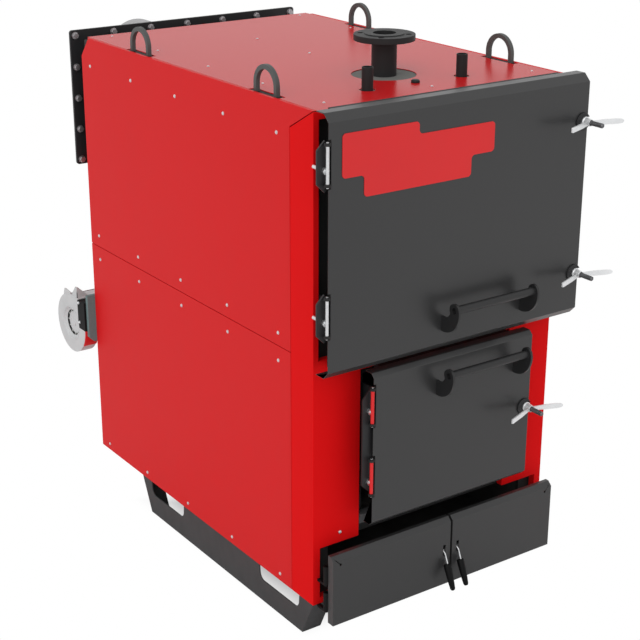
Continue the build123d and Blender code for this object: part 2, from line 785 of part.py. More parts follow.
def wing_nut(door, height):
    """Stud and wing nut at a door's right edge."""
    x = door.latch_x
    hub_rear = door.face - KEEPER_THICKNESS - WING_HUB_GAP
    hub_front = hub_rear - WING_HUB_LENGTH
    nut = depth_rod(x, height, hub_front, hub_rear, WING_HUB_RADIUS)
    nut += depth_rod(x, height, hub_front - STUD_AHEAD, -STUD_REAR, STUD_RADIUS)
    hub_middle = Pos(x, (hub_front + hub_rear) / 2 - WING_ARM_AHEAD, above(height))
    bar = Pos(0, 0, WING_ARM_LENGTH / 2) * Cylinder(WING_ARM_RADIUS, WING_ARM_LENGTH)
    for side in (-1, 1):
        nut += hub_middle * Rot(0, 0, -side * WING_ARM_SWEEP) * Rot(0, side * 90, 0) * bar
    return nut


def latch_lug(door, height, opening_half):
    """Fixed lug behind a stud's end, with its arm back to the door surround."""
    arm_right = opening_half
    arm_left = arm_right - LATCH_LUG_THICKNESS
    low = height - LATCH_LUG_HEIGHT / 2
    high = height + LATCH_LUG_HEIGHT / 2
    rear = -LATCH_LUG_FRONT + LATCH_LUG_THICKNESS
    lug = slab(arm_left, door.latch_x + STUD_RADIUS, -LATCH_LUG_FRONT, rear, low, high)
    return lug + slab(arm_left, arm_right, -LATCH_LUG_FRONT, body_front, low, high)


def badge():
    """Bare plate on the upper door: three rounded steps of different lengths."""
    left = -upper_door.half + BADGE_LEFT
    top = upper_door.top - BADGE_TOP
    face = upper_door.face
    front = face - BADGE_THICKNESS
    middle_top = top - BADGE_HEAD_RISE
    middle_low = middle_top - BADGE_MIDDLE_HEIGHT
    foot_left = left + BADGE_FOOT_LEFT
    foot_right = foot_left + BADGE_FOOT_WIDTH
    plate = slab(left, left + BADGE_HEAD_WIDTH, front, face, middle_low, top)
    plate += slab(left, left + BADGE_MIDDLE_WIDTH, front, face, middle_low, middle_top)
    plate += slab(foot_left, foot_right, front, face, middle_low - BADGE_FOOT_HEIGHT, middle_top)
    return fillet(plate.edges().filter_by(Axis.Y), BADGE_RADIUS)


# Ash door leaves

def ash_leaf(side):
    """One folded leaf, side -1 on the left and 1 on the right, with its lever slot."""
    outer = side * leaf_half_span
    inner = LEAF_SPLIT + side * LEAF_GAP / 2
    low_x, high_x = min(outer, inner), max(outer, inner)
    outer_profile = leaf_outline(0)
    inner_profile = leaf_outline(LEAF_SHEET)
    tray = across_prism(outer_profile, low_x, high_x)
    tray -= across_prism(inner_profile, low_x + LEAF_SHEET, high_x - LEAF_SHEET)
    lever_x = lever_place(side)
    half = LEVER_SLOT_WIDTH / 2
    tall = LEVER_SLOT_HEIGHT / 2
    tray -= slab(
        lever_x - half,
        lever_x + half,
        -LEAF_FACE - SHEET,
        -LEAF_FACE + 2 * LEAF_SHEET,
        LEVER_SLOT_CENTRE - tall,
        LEVER_SLOT_CENTRE + tall,
    )
    relief_x = outer - side * RELIEF_INSET
    relief_z = LEAF_TOP - RELIEF_INSET
    tray -= depth_rod(relief_x, relief_z, -LEAF_FACE - SHEET, -LEAF_FACE + 2 * LEAF_SHEET, RELIEF_RADIUS)
    lean = RELIEF_SLIT / 2 ** 0.5
    slit = [
        (outer + side * lean, LEAF_TOP),
        (outer, LEAF_TOP + lean),
        (relief_x - side * lean / 2, relief_z + lean / 2),
        (relief_x + side * lean / 2, relief_z - lean / 2),
    ]
    tray -= along_prism(slit, -LEAF_FACE - SHEET, -LEAF_FACE + 2 * LEAF_SHEET)
    for piece in leaf_knuckles(side) + lever_ears(side):
        tray += piece
    return tray


def leaf_outline(inset):
    """Outline in (y, height) of an ash leaf, chamfered at the top."""
    cut = LEAF_CHAMFER - inset * (2 - 2 ** 0.5)
    ahead = -(LEAF_FACE - inset)
    rear = -(LEAF_FACE - LEAF_FOLD) + (SHEET if inset else 0)
    low = LEAF_BOTTOM + inset
    high = LEAF_TOP - inset
    return [(rear, low), (ahead, low), (ahead, high - cut), (ahead + cut, high), (rear, high)]


def leaf_axis_x(side):
    """Place of a leaf's hinge axis, in line with its side flange."""
    return side * (leaf_half_span - LEAF_SHEET / 2)


def leaf_knuckle_heights():
    """Middles of the two knuckles of a leaf."""
    return (LEAF_BOTTOM + LEAF_KNUCKLE_MARGIN, LEAF_TOP - LEAF_KNUCKLE_MARGIN)


def leaf_knuckles(side):
    """Bored knuckles behind a leaf's side flange, joined to it by a web."""
    x = leaf_axis_x(side)
    half_sheet = LEAF_SHEET / 2
    bore_radius = LEAF_PIN_RADIUS + RUNNING_CLEARANCE
    pieces = []
    for middle in leaf_knuckle_heights():
        low = middle - LEAF_KNUCKLE_HEIGHT / 2
        high = middle + LEAF_KNUCKLE_HEIGHT / 2
        knuckle = upright_rod(x, leaf_axis_y, low, high, LEAF_KNUCKLE_RADIUS)
        knuckle += slab(x - half_sheet, x + half_sheet, -LEAF_FACE + LEAF_SHEET, leaf_axis_y, low, high)
        pieces.append(knuckle - upright_rod(x, leaf_axis_y, low - SHEET, high + SHEET, bore_radius))
    return pieces


def ash_hinge_bracket(side):
    """Arms from the front frame that hold a leaf's hinge pins."""
    x = leaf_axis_x(side)
    half = LEAF_BRACKET_WIDTH / 2
    arms = []
    for middle in leaf_knuckle_heights():
        high = middle - LEAF_KNUCKLE_HEIGHT / 2 - HINGE_LUG_GAP
        low = high - LEAF_BRACKET_THICKNESS
        arm = slab(x - half, x + half, leaf_axis_y, 0, low, high)
        arm += upright_rod(x, leaf_axis_y, low, high, half)
        arm += upright_rod(x, leaf_axis_y, low, middle + LEAF_KNUCKLE_HEIGHT / 2, LEAF_PIN_RADIUS)
        arms.append(arm)
    return arms


def lever_place(side):
    """The x of a lever."""
    return LEAF_SPLIT + side * LEVER_INSET


def lever_axis_y():
    """The y of the levers' pivots."""
    return -LEAF_FACE + LEVER_AXIS_BEHIND


def lever_axis_height():
    """Height of the levers' pivots."""
    return LEVER_SLOT_CENTRE - LEVER_AXIS_DROP


def lever_ears(side):
    """Ears behind a leaf that hold its lever's pivot."""
    x = lever_place(side)
    middle = lever_axis_height()
    half = LEVER_SHANK_WIDTH / 2
    reach = LEVER_SLOT_WIDTH / 2 + LEVER_EAR_THICKNESS
    rear = lever_axis_y() + half + LEVER_EAR_THICKNESS
    ears = slab(x - reach, x + reach, -LEAF_FACE + LEAF_SHEET, rear, middle - 2 * half, middle + 2 * half)
    gap = LEVER_SLOT_WIDTH / 2
    ears -= slab(x - gap, x + gap, -LEAF_FACE, rear + SHEET, middle - 3 * half, middle + 3 * half)
    bore_radius = LEVER_PIN_RADIUS + RUNNING_CLEARANCE
    ears -= cross_rod(lever_axis_y(), middle, x - 2 * reach, x + 2 * reach, bore_radius)
    return ears.solids()


def lever(side):
    """Lever: pivot pin, cranked shank and tapered grip, hanging down and outwards."""
    knee = LEVER_AXIS_BEHIND + LEVER_KNEE_AHEAD
    thick = LEVER_SHANK_THICKNESS
    wide = LEVER_SHANK_WIDTH
    eye = Rot(0, 90, 0) * Cylinder(wide / 2, thick)
    arm = Pos(0, -knee / 2, 0) * Box(thick, knee, wide)
    shank = Pos(0, 0, -LEVER_SHANK_LENGTH / 2) * Box(thick, wide, LEVER_SHANK_LENGTH)
    grip = Pos(0, 0, -LEVER_SHANK_LENGTH - LEVER_GRIP_LENGTH / 2 + SHEET) * Cone(
        LEVER_GRIP_END_RADIUS, LEVER_GRIP_TOP_RADIUS, LEVER_GRIP_LENGTH
    )
    hanging = Pos(0, -knee, 0) * (eye + Rot(-LEVER_TILT, 0, 0) * (shank + grip))
    pin = Rot(0, 90, 0) * Cylinder(LEVER_PIN_RADIUS, LEVER_SLOT_WIDTH + 2 * LEVER_EAR_THICKNESS)
    place = Pos(lever_place(side), lever_axis_y(), above(lever_axis_height()))
    return place * (eye + arm + hanging + pin)


# Top fittings

def flanged_pipe(length):
    """Pipe standing on the origin with a welded flange at its upper end."""
    top = length - FLANGE_FACE_HEIGHT
    pipe = Pos(0, 0, top / 2) * Cylinder(SUPPLY_PIPE_RADIUS, top)
    pipe += Pos(0, 0, top - FLANGE_THICKNESS / 2) * Cylinder(FLANGE_RADIUS, FLANGE_THICKNESS)
    pipe += Pos(0, 0, length - FLANGE_FACE_HEIGHT / 2) * Cylinder(FLANGE_FACE_RADIUS, FLANGE_FACE_HEIGHT)
    pipe -= Pos(0, 0, length / 2) * Cylinder(SUPPLY_PIPE_RADIUS - PIPE_WALL, length + SHEET)
    first_angle = 180 / FLANGE_BOLT_COUNT
    holes = PolarLocations(FLANGE_BOLT_CIRCLE_RADIUS, FLANGE_BOLT_COUNT, start_angle=first_angle)
    for place in holes:
        pipe -= Pos(0, 0, top) * place * Cylinder(FLANGE_BOLT_HOLE_RADIUS, 3 * FLANGE_THICKNESS)
    return pipe


def supply_pipe():
    """Supply connection on the top."""
    length = SUPPLY_HEIGHT + INSULATION_GAP
    return Pos(0, SUPPLY_BACK, above(body_top)) * flanged_pipe(length)


def return_pipe():
    """Return connection at the rear, low on the right."""
    length = RETURN_LENGTH + SHEET
    return Pos(RETURN_ACROSS, wall_rear, above(RETURN_HEIGHT)) * Rot(-90, 0, 0) * flanged_pipe(length)


def stub_pipes():
    """Two plain stub pipes on the top."""
    solids = []
    for side in (-1, 1):
        outer = upright_rod(side * STUB_SPREAD, STUB_BACK, body_top, CASING_HEIGHT + STUB_HEIGHT, STUB_RADIUS)
        bore_top = CASING_HEIGHT + STUB_HEIGHT + SHEET
        bore = upright_rod(side * STUB_SPREAD, STUB_BACK, body_top - SHEET, bore_top, STUB_RADIUS - STUB_WALL)
        solids.append(outer - bore)
    return solids


def sensor_pocket():
    """Low round fitting on the top sheet."""
    high = CASING_HEIGHT + POCKET_FITTING_HEIGHT
    fitting = upright_rod(0, STUB_BACK, CASING_HEIGHT, high, POCKET_FITTING_RADIUS)
    return chamfer(fitting.edges().group_by(Axis.Z)[-1], POCKET_FITTING_HEIGHT / 3)


def lifting_eye(side, back):
    """Arched bar that stands on the boiler body and passes through the top sheet."""
    x = side * (half_casing - EYE_INSET)
    outer = EYE_SPAN / 2
    inner = outer - EYE_BAR_WIDTH
    spring = CASING_HEIGHT + EYE_HEIGHT - outer
    half = EYE_BAR_WIDTH / 2
    low = body_top
    ring = cross_rod(back, spring, x - half, x + half, outer)
    ring -= slab(x - outer, x + outer, back - 2 * outer, back + 2 * outer, spring - 2 * outer, spring)
    ring += slab(x - half, x + half, back - outer, back + outer, low, spring)
    ring -= cross_rod(back, spring, x - outer, x + outer, inner) - slab(
        x - 2 * outer, x + 2 * outer, back - outer, back + outer, spring - 2 * outer, spring
    )
    ring -= slab(x - outer, x + outer, back - inner, back + inner, low + EYE_FOOT, spring)
    return ring


# Flue

def flue_neck():
    """Steel mouth of the upper chamber, out to the bolted flange."""
    half = NECK_WIDTH / 2
    outer = slab(-half, half, wall_rear, flange_rear, neck_bottom, neck_top)
    clear = half - NECK_WALL
    return outer - slab(-clear, clear, wall_rear - SHEET, flange_rear + SHEET, NECK_BOTTOM, ceiling_bottom)


def flue_flange():
    """Bolted plate frame between the neck and the smoke box."""
    half = NECK_WIDTH / 2 + FLUE_FLANGE_SIDE
    low = neck_bottom - FLUE_FLANGE_BELOW
    plate = slab(-half, half, flange_rear, smoke_box_front, low, neck_top + FLUE_FLANGE_ABOVE)
    plate = fillet(plate.edges().filter_by(Axis.Y), FLUE_FLANGE_CORNER)
    inner = SMOKE_BOX_WIDTH / 2 - SMOKE_BOX_WALL
    return plate - slab(-inner, inner, 0, smoke_box_rear, NECK_BOTTOM, ceiling_bottom)


def smoke_box():
    """Steel box that gathers the flue gas."""
    half = SMOKE_BOX_WIDTH / 2
    wall = SMOKE_BOX_WALL
    high = neck_top + SMOKE_BOX_ABOVE
    low = neck_bottom + SMOKE_BOX_INSET
    outer = slab(-half, half, smoke_box_front, smoke_box_rear, low, high)
    front = smoke_box_front - wall
    rear = smoke_box_rear - wall
    inner = slab(-half + wall, half - wall, front, rear, low + wall, high - wall)
    outlet = depth_rod(0, FLUE_HEIGHT, rear - wall, smoke_box_rear + wall, FLUE_RADIUS - FLUE_WALL)
    return outer - inner - outlet


def flue_outlet():
    """Round flue spigot."""
    end = smoke_box_rear + FLUE_LENGTH
    pipe = depth_rod(0, FLUE_HEIGHT, smoke_box_rear, end, FLUE_RADIUS)
    return pipe - depth_rod(0, FLUE_HEIGHT, smoke_box_rear - SHEET, end + SHEET, FLUE_RADIUS - FLUE_WALL)


# Fan

scroll_left = -half_casing - SCROLL_OUTSET
scroll_right = scroll_left + SCROLL_WIDTH
duct_left = -half_casing - DUCT_OUTSET
duct_rear = CASING_DEPTH + DUCT_DEPTH
spout_front = duct_rear + ADAPTER_LENGTH
scroll_y = spout_front + SPOUT_REACH
spout_top = SCROLL_HEIGHT + SCROLL_RADIUS


def air_passage(x_low, y_low, y_high):
    """The clear passage of the fan's spout from a given left side, between two depths."""
    low = SCROLL_HEIGHT + SCROLL_WALL
    return slab(x_low, scroll_right - SCROLL_WALL, y_low, y_high, low, spout_top - SCROLL_WALL)


def duct_outline(inset):
    """Outline in (x, z) of the air box, cut off at its lower left corner."""
    left = duct_left + inset
    right = duct_left + DUCT_WIDTH - inset
    low = DUCT_BOTTOM + inset
    high = DUCT_BOTTOM + DUCT_HEIGHT - inset
    cut = DUCT_CORNER_CUT - inset * (2 - 2 ** 0.5)
    return [(left, low + cut), (left + cut, low), (right, low), (right, high), (left, high)]


def fan_duct():
    """Shallow air box on the rear panel, wider than the casing, with the spout's opening in its rear."""
    wall = DUCT_SHEET
    rear = duct_rear - wall
    outer = along_prism(duct_outline(0), CASING_DEPTH, duct_rear)
    inner = along_prism(duct_outline(wall), CASING_DEPTH + wall, rear)
    return outer - inner - air_passage(duct_left + wall, rear - wall, duct_rear + wall)


def fan_adapter():
    """Black box between the duct and the fan's spout, closed where it passes the duct's left end."""
    outer = slab(scroll_left, scroll_right, duct_rear, spout_front, SCROLL_HEIGHT, spout_top)
    wall = SCROLL_WALL
    outer -= air_passage(scroll_left + wall, duct_rear + wall, spout_front + wall)
    return outer - air_passage(duct_left + DUCT_SHEET, duct_rear - wall, duct_rear + 2 * wall)


def fan_bracket():
    """Red saddle between the duct and the front of the scroll's rim."""
    left = scroll_left + BRACKET_INSET
    low = SCROLL_HEIGHT - BRACKET_DROP
    strap = cross_rod(scroll_y, SCROLL_HEIGHT, left, scroll_right, SCROLL_RADIUS + BRACKET_THICKNESS)
    strap -= cross_rod(scroll_y, SCROLL_HEIGHT, left - SHEET, scroll_right + SHEET, SCROLL_RADIUS)
    strap &= slab(left, scroll_right, duct_rear, scroll_y, low, SCROLL_HEIGHT)
    foot_low = DUCT_BOTTOM + DUCT_CORNER_CUT
    foot = slab(left, scroll_right, duct_rear, duct_rear + BRACKET_THICKNESS, foot_low, SCROLL_HEIGHT)
    return strap + (foot - cross_rod(scroll_y, SCROLL_HEIGHT, left - SHEET, scroll_right + SHEET, SCROLL_RADIUS))


def fan_scroll():
    """Cast scroll with its spout forward, inlet on the left and shaft hole on the right."""
    wall = SCROLL_WALL
    left = scroll_left - wall
    right = scroll_right + wall
    start = scroll_y - 2 * SCROLL_RADIUS
    outer = cross_rod(scroll_y, SCROLL_HEIGHT, scroll_left, scroll_right, SCROLL_RADIUS)
    outer -= slab(left, right, start, scroll_y, SCROLL_HEIGHT, spout_top + wall)
    outer += slab(scroll_left, scroll_right, spout_front, scroll_y, SCROLL_HEIGHT, spout_top)
    inner = cross_rod(scroll_y, SCROLL_HEIGHT, scroll_left + wall, scroll_right - wall, SCROLL_RADIUS - wall)
    inner -= slab(left, right, start, spout_front + wall, SCROLL_HEIGHT - wall, spout_top + wall)
    inner += air_passage(scroll_left + wall, spout_front - wall, scroll_y)
    inlet = cross_rod(scroll_y, SCROLL_HEIGHT, left, scroll_left + 2 * wall, INLET_RADIUS)
    shaft_radius = SHAFT_RADIUS + RUNNING_CLEARANCE
    shaft = cross_rod(scroll_y, SCROLL_HEIGHT, scroll_right - 2 * wall, right, shaft_radius)
    return outer - inner - inlet - shaft


def fan_motor():
    """Motor on the right side of the scroll, with its terminal box and the shaft's bore."""
    motor = cross_rod(scroll_y, SCROLL_HEIGHT, scroll_right, scroll_right + MOTOR_LENGTH, MOTOR_RADIUS)
    box_y = scroll_y - TERMINAL_BOX_OFFSET
    half = TERMINAL_BOX_DEPTH / 2
    low = SCROLL_HEIGHT + TERMINAL_BOX_LOW
    high = SCROLL_HEIGHT + TERMINAL_BOX_HIGH
    motor += slab(scroll_right, scroll_right + TERMINAL_BOX_LENGTH, box_y - half, box_y + half, low, high)
    bore_end = scroll_right + MOTOR_LENGTH / 2
    bore_radius = SHAFT_RADIUS + RUNNING_CLEARANCE
    return motor - cross_rod(scroll_y, SCROLL_HEIGHT, scroll_right - SHEET, bore_end, bore_radius)


def impeller():
    """Bladed wheel with its shaft."""
    disc_right = scroll_right - SCROLL_WALL - MOVING_CLEARANCE
    disc_left = disc_right - IMPELLER_DISC
    front = disc_right - IMPELLER_WIDTH
    wheel = cross_rod(scroll_y, SCROLL_HEIGHT, disc_left, disc_right, IMPELLER_RADIUS)
    wheel += cross_rod(scroll_y, SCROLL_HEIGHT, front, disc_right, IMPELLER_HUB_RADIUS)
    shaft_end = scroll_right + MOTOR_LENGTH / 2 - MOVING_CLEARANCE
    wheel += cross_rod(scroll_y, SCROLL_HEIGHT, front, shaft_end, SHAFT_RADIUS)
    middle = IMPELLER_RADIUS - IMPELLER_BLADE_LENGTH / 2
    blade = Pos(0, middle, 0) * Box(IMPELLER_WIDTH, IMPELLER_BLADE_LENGTH, IMPELLER_BLADE_THICKNESS)
    for i in range(IMPELLER_BLADES):
        turned = Rot(i * 360 / IMPELLER_BLADES, 0, 0) * blade
        wheel += Pos((front + disc_right) / 2, scroll_y, above(SCROLL_HEIGHT)) * turned
    return wheel


def build_nodes():
    """All pieces by name, in the modelling frame."""
    left_skid = skid()
    left_upper = side_panel(True)
    left_lower = side_panel(False)
    left_wall = body_wall()
    pins = [hinge_pin(upper_door, height, HINGE_STUD_TAIL) for height in upper_hinge_heights]
    pins += [hinge_pin(lower_door, height, LONG_PLATE_STUD_TAIL) for height in lower_hinge_heights]
    plates = [hinge_plates(upper_door, [height], False) for height in upper_hinge_heights]
    plates.append(hinge_plates(lower_door, lower_hinge_heights, True))
    lugs = [latch_lug(upper_door, height, upper_opening_half) for height in upper_latch_heights]
    lugs.append(latch_lug(lower_door, lower_latch_height, lower_opening_half))
    return {
        "skid_left": left_skid,
        "skid_right": mirrored(left_skid),
        "front_frame": front_frame(),
        "side_panel_left_upper": left_upper,
        "side_panel_right_upper": mirrored(left_upper),
        "side_panel_left_lower": left_lower,
        "side_panel_right_lower": mirrored(left_lower),
        "top_panel": top_panel(),
        "insulation_blanket": insulation_blanket(),
        "rear_panel": rear_panel(),
        "body_wall_left": left_wall,
        "body_wall_right": mirrored(left_wall),
        "body_ceiling": body_ceiling(),
        "body_crown": body_crown(),
        "body_back": body_back(),
        "body_floor": body_floor(),
        "door_surround_posts": door_surround_posts(),
        "door_surround_bars": door_surround_bars(),
        "door_surround_jambs": door_surround_jambs(),
        "grate": grate(),
        "hinge_plates": plates,
        "hinge_pins": pins,
        "latch_lugs": lugs,
        "upper_door_skin": door_skin(upper_door, upper_hinge_heights, upper_latch_heights),
        "upper_door_body": door_body(upper_door, upper_hinge_heights),
        "upper_door_lining": door_lining(upper_door),
        "upper_door_handle": handle(upper_door, UPPER_HANDLE_CENTRE, upper_bar_height),
        "upper_door_keepers": [keeper(upper_door, height) for height in upper_latch_heights],
        "badge_plate": badge(),
        "lower_door_skin": door_skin(lower_door, lower_hinge_heights, [lower_latch_height]),
        "lower_door_body": door_body(lower_door, lower_hinge_heights),
        "lower_door_lining": door_lining(lower_door),
        "lower_door_handle": handle(lower_door, LOWER_HANDLE_CENTRE, lower_bar_height),
        "lower_door_keeper": keeper(lower_door, lower_latch_height),
        "wing_nut_upper_low": wing_nut(upper_door, upper_latch_heights[0]),
        "wing_nut_upper_high": wing_nut(upper_door, upper_latch_heights[1]),
        "wing_nut_lower": wing_nut(lower_door, lower_latch_height),
        "ash_leaf_left": ash_leaf(-1),
        "ash_leaf_right": ash_leaf(1),
        "ash_hinge_brackets": ash_hinge_bracket(-1) + ash_hinge_bracket(1),
        "ash_lever_left": lever(-1),
        "ash_lever_right": lever(1),
        "supply_pipe": supply_pipe(),
        "return_pipe": return_pipe(),
        "stub_pipes": stub_pipes(),
        "sensor_pocket": sensor_pocket(),
        "lifting_eyes_left": [lifting_eye(-1, back) for back in EYE_BACKS],
        "lifting_eyes_right": [lifting_eye(1, back) for back in EYE_BACKS],
        "flue_neck": flue_neck(),
        "flue_flange": flue_flange(),
        "smoke_box": smoke_box(),
        "flue_outlet": flue_outlet(),
        "fan_duct": fan_duct(),
        "fan_adapter": fan_adapter(),
        "fan_bracket": fan_bracket(),
        "fan_scroll": fan_scroll(),
        "fan_motor": fan_motor(),
        "impeller": impeller(),
    }


def main():
    """Builds every piece, moves the whole to its origin and writes the files."""
    os.makedirs("parts", exist_ok=True)
    nodes = {name: piece if isinstance(piece, list) else [piece] for name, piece in build_nodes().items()}
    boxes = [solid.bounding_box() for solids in nodes.values() for solid in solids]
    middle_x = (min(box.min.X for box in boxes) + max(box.max.X for box in boxes)) / 2
    middle_y = (min(box.min.Y for box in boxes) + max(box.max.Y for box in boxes)) / 2
    shift = Pos(-middle_x, -middle_y, 0)
    for name, solids in nodes.items():
        moved = [shift * solid for solid in solids]
        shape = moved[0] if len(moved) == 1 else Compound(children=moved)
        export_step(shape, f"parts/{name}.step")
    print("shift", middle_x, middle_y)


main()
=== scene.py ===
"""Visual model of a solid-fuel industrial boiler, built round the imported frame."""
import json
import logging
import math
from dataclasses import dataclass
from enum import Enum
from typing import Callable, Dict, List, Optional, Sequence, Tuple, Union

import bmesh
import bpy
from mathutils import Euler, Matrix, Vector


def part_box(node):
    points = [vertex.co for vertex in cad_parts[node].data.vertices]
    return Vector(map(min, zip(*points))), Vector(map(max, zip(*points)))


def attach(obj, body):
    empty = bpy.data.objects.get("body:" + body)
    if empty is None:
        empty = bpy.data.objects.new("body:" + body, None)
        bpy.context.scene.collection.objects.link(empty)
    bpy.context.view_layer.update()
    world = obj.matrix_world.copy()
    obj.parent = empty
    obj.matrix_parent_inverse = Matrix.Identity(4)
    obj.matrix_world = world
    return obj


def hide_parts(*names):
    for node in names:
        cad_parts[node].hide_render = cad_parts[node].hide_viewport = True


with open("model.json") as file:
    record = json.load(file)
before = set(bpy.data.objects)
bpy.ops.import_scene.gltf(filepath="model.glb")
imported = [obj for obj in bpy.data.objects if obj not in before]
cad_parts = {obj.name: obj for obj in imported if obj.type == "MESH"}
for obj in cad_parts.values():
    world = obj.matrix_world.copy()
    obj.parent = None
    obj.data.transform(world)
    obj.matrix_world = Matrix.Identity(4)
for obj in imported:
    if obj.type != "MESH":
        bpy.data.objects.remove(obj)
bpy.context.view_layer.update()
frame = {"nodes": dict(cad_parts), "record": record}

logging.basicConfig(level=logging.INFO, format="%(message)s")
REPORT = logging.getLogger("boiler")

MM = 0.001
EDGE_ANGLE = math.radians(30.0)
FLAT_ANGLE = math.radians(0.4)
SAME_PLACE = 1e-5
STUD_END = 0.3
Point = Tuple[float, float, float]
Colour = Tuple[float, float, float]
Level = Union["Signal", float]


# Places

@dataclass(frozen=True)
class Datum:
    """Casing middle, front and top in the row frame; pieces are sized in casing millimetres."""

    middle: float
    front: float
    top: float
    casing_height: float = 1530.0

    @classmethod
    def of_casing(cls) -> "Datum":
        """Reads the datum from the top panel's box."""
        low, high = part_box("top_panel")
        return cls((low.x + high.x) / 2, low.y, high.z)

    def at(self, x: float, y: float, z: float) -> Vector:
        """Turns a place in casing millimetres into metres of the row frame.

        Args:
            x: Distance to the right of the casing's middle.
            y: Distance behind the casing's front.
            z: Height over the casing's lower edge.

        Returns:
            The same place in the row frame.
        """
        height = self.top - (self.casing_height - z) * MM
        return Vector((self.middle + x * MM, self.front + y * MM, height))


DATUM = Datum.of_casing()


class Way(Enum):
    """Direction of an axis or of an outward face."""

    LEFT = (-1, 0, 0)
    RIGHT = (1, 0, 0)
    FRONT = (0, -1, 0)
    REAR = (0, 1, 0)
    UP = (0, 0, 1)

    def turn(self) -> Euler:
        """Rotation that brings local Z to this direction."""
        return Vector(self.value).to_track_quat("Z", "Y").to_euler()

    def index(self) -> int:
        """Number of the axis that the direction lies on."""
        return [abs(part) for part in self.value].index(1)


# Nodes

def arithmetic(operation: str, swapped: bool = False) -> Callable[["Signal", Level], "Signal"]:
    """Makes a signal's method for one of Python's operators.

    Args:
        operation: Name of the Math node's operation.
        swapped: Whether the other value comes first.

    Returns:
        The method.
    """
    def method(signal: "Signal", other: Level) -> "Signal":
        """The Math node's result."""
        pair = (other, signal) if swapped else (signal, other)
        return signal.math(operation, *pair)

    return method


class Signal:
    """An output of a node that Python's arithmetic works on."""

    def __init__(self, sheet: "Sheet", socket: bpy.types.NodeSocket) -> None:
        """Keeps the socket and the sheet that it lies on."""
        self.sheet = sheet
        self.socket = socket

    def math(self, operation: str, first: Level, second: Level = 0.0) -> "Signal":
        """Adds a Math node to this signal's sheet.

        Args:
            operation: Name of the node's operation.
            first: First value.
            second: Second value, unused by some operations.

        Returns:
            The node's result.
        """
        return self.sheet.add("ShaderNodeMath", {0: first, 1: second}, operation=operation)

    __add__ = arithmetic("ADD")
    __sub__ = arithmetic("SUBTRACT")
    __rsub__ = arithmetic("SUBTRACT", True)
    __mul__ = arithmetic("MULTIPLY")
    __rtruediv__ = arithmetic("DIVIDE", True)


class Sheet:
    """A node tree that is filled from Python."""

    def __init__(self, tree: bpy.types.NodeTree) -> None:
        """Keeps the tree."""
        self.tree = tree

    def add(
        self,
        kind: str,
        inputs: Optional[Dict[Union[int, str], object]] = None,
        output: Union[int, str] = 0,
        **settings: object,
    ) -> Signal:
        """Adds one node, sets it and joins it up.

        Args:
            kind: The node's type.
            inputs: Values, signals or lists of signals by socket name or number.
            output: Which output comes back.
            settings: Properties of the node, and "stops" for a colour ramp.

        Returns:
            The chosen output.
        """
        node = self.tree.nodes.new(kind)
        for key, value in settings.items():
            if key == "stops":
                self._set_stops(node.color_ramp, value)
            else:
                setattr(node, key, value)
        for key, value in (inputs or {}).items():
            socket = node.inputs[key]
            for item in value if isinstance(value, list) else [value]:
                if isinstance(item, Signal):
                    self.tree.links.new(item.socket, socket)
                else:
                    socket.default_value = item
        return Signal(self, node.outputs[output] if len(node.outputs) else None)

    @staticmethod
    def _set_stops(ramp: bpy.types.ColorRamp, stops: Sequence[Tuple[float, float]]) -> None:
        """Gives a ramp its grey stops.

        Args:
            ramp: The ramp of a node.
            stops: Pairs of place and grey level.
        """
        while len(ramp.elements) < len(stops):
            ramp.elements.new(1.0)
        for element, (place, level) in zip(ramp.elements, stops):
            element.position = place
            element.color = (level, level, level, 1.0)


class Recipe(Sheet):
    """Node tree of one material with a single shader."""

    def __init__(self, name: str) -> None:
        """Makes an empty material with its coordinates.

        Args:
            name: Name of the material.
        """
        self.material = bpy.data.materials.new(name)
        self.material.use_nodes = True
        super().__init__(self.material.node_tree)
        self.tree.nodes.clear()
        self.place = self.add("ShaderNodeTexCoord", output="Object")

    def noise(self, size: float, detail: float = 2.0, stretch: Point = (1.0, 1.0, 1.0)) -> Signal:
        """Soft random pattern in the object's coordinates.

        Args:
            size: Size of the pattern's features in millimetres.
            detail: How many finer layers it has.
            stretch: How many times longer the features are along each axis.

        Returns:
            A value round one half.
        """
        scale = tuple(1.0 / (size * MM * part) for part in stretch)
        mapped = self.add("ShaderNodeMapping", {"Vector": self.place, "Scale": scale})
        return self.add("ShaderNodeTexNoise", {"Vector": mapped, "Scale": 1.0, "Detail": detail})

    def cells(self, size: float) -> Signal:
        """Distance to the nearest point of a cell pattern with cells of a size in millimetres."""
        inputs = {"Vector": self.place, "Scale": 1.0 / (size * MM)}
        return self.add("ShaderNodeTexVoronoi", inputs, "Distance", feature="F1")

    def ramp(self, value: Signal, stops: Sequence[Tuple[float, float]]) -> Signal:
        """Reshapes a value through a ramp of grey stops."""
        return self.add("ShaderNodeValToRGB", {0: value}, stops=stops)

    def tint(self, factor: Level, low: Union[Colour, Signal], high: Union[Colour, Signal]) -> Signal:
        """Mixes two colours.

        Args:
            factor: Share of the second colour.
            low: First colour.
            high: Second colour.

        Returns:
            The mixed colour.
        """
        pair = [item if isinstance(item, Signal) else (*item, 1.0) for item in (low, high)]
        inputs = {0: factor, 6: pair[0], 7: pair[1]}
        return self.add("ShaderNodeMix", inputs, 2, data_type="RGBA")

    def relief(self, height: Signal, depth: float) -> Signal:
        """Surface normal of a fine relief with a depth in millimetres."""
        inputs = {"Strength": 1.0, "Distance": depth * MM, "Height": height}
        return self.add("ShaderNodeBump", inputs, "Normal")

    def shade(self, inputs: Dict[str, object]) -> bpy.types.Material:
        """Adds the shader and closes the material.

        Args:
            inputs: Values and signals of the shader's sockets.

        Returns:
            The finished material.
        """
        shader = self.add("ShaderNodeBsdfPrincipled", inputs, "BSDF")
        self.add("ShaderNodeOutputMaterial", {"Surface": shader})
        return self.material


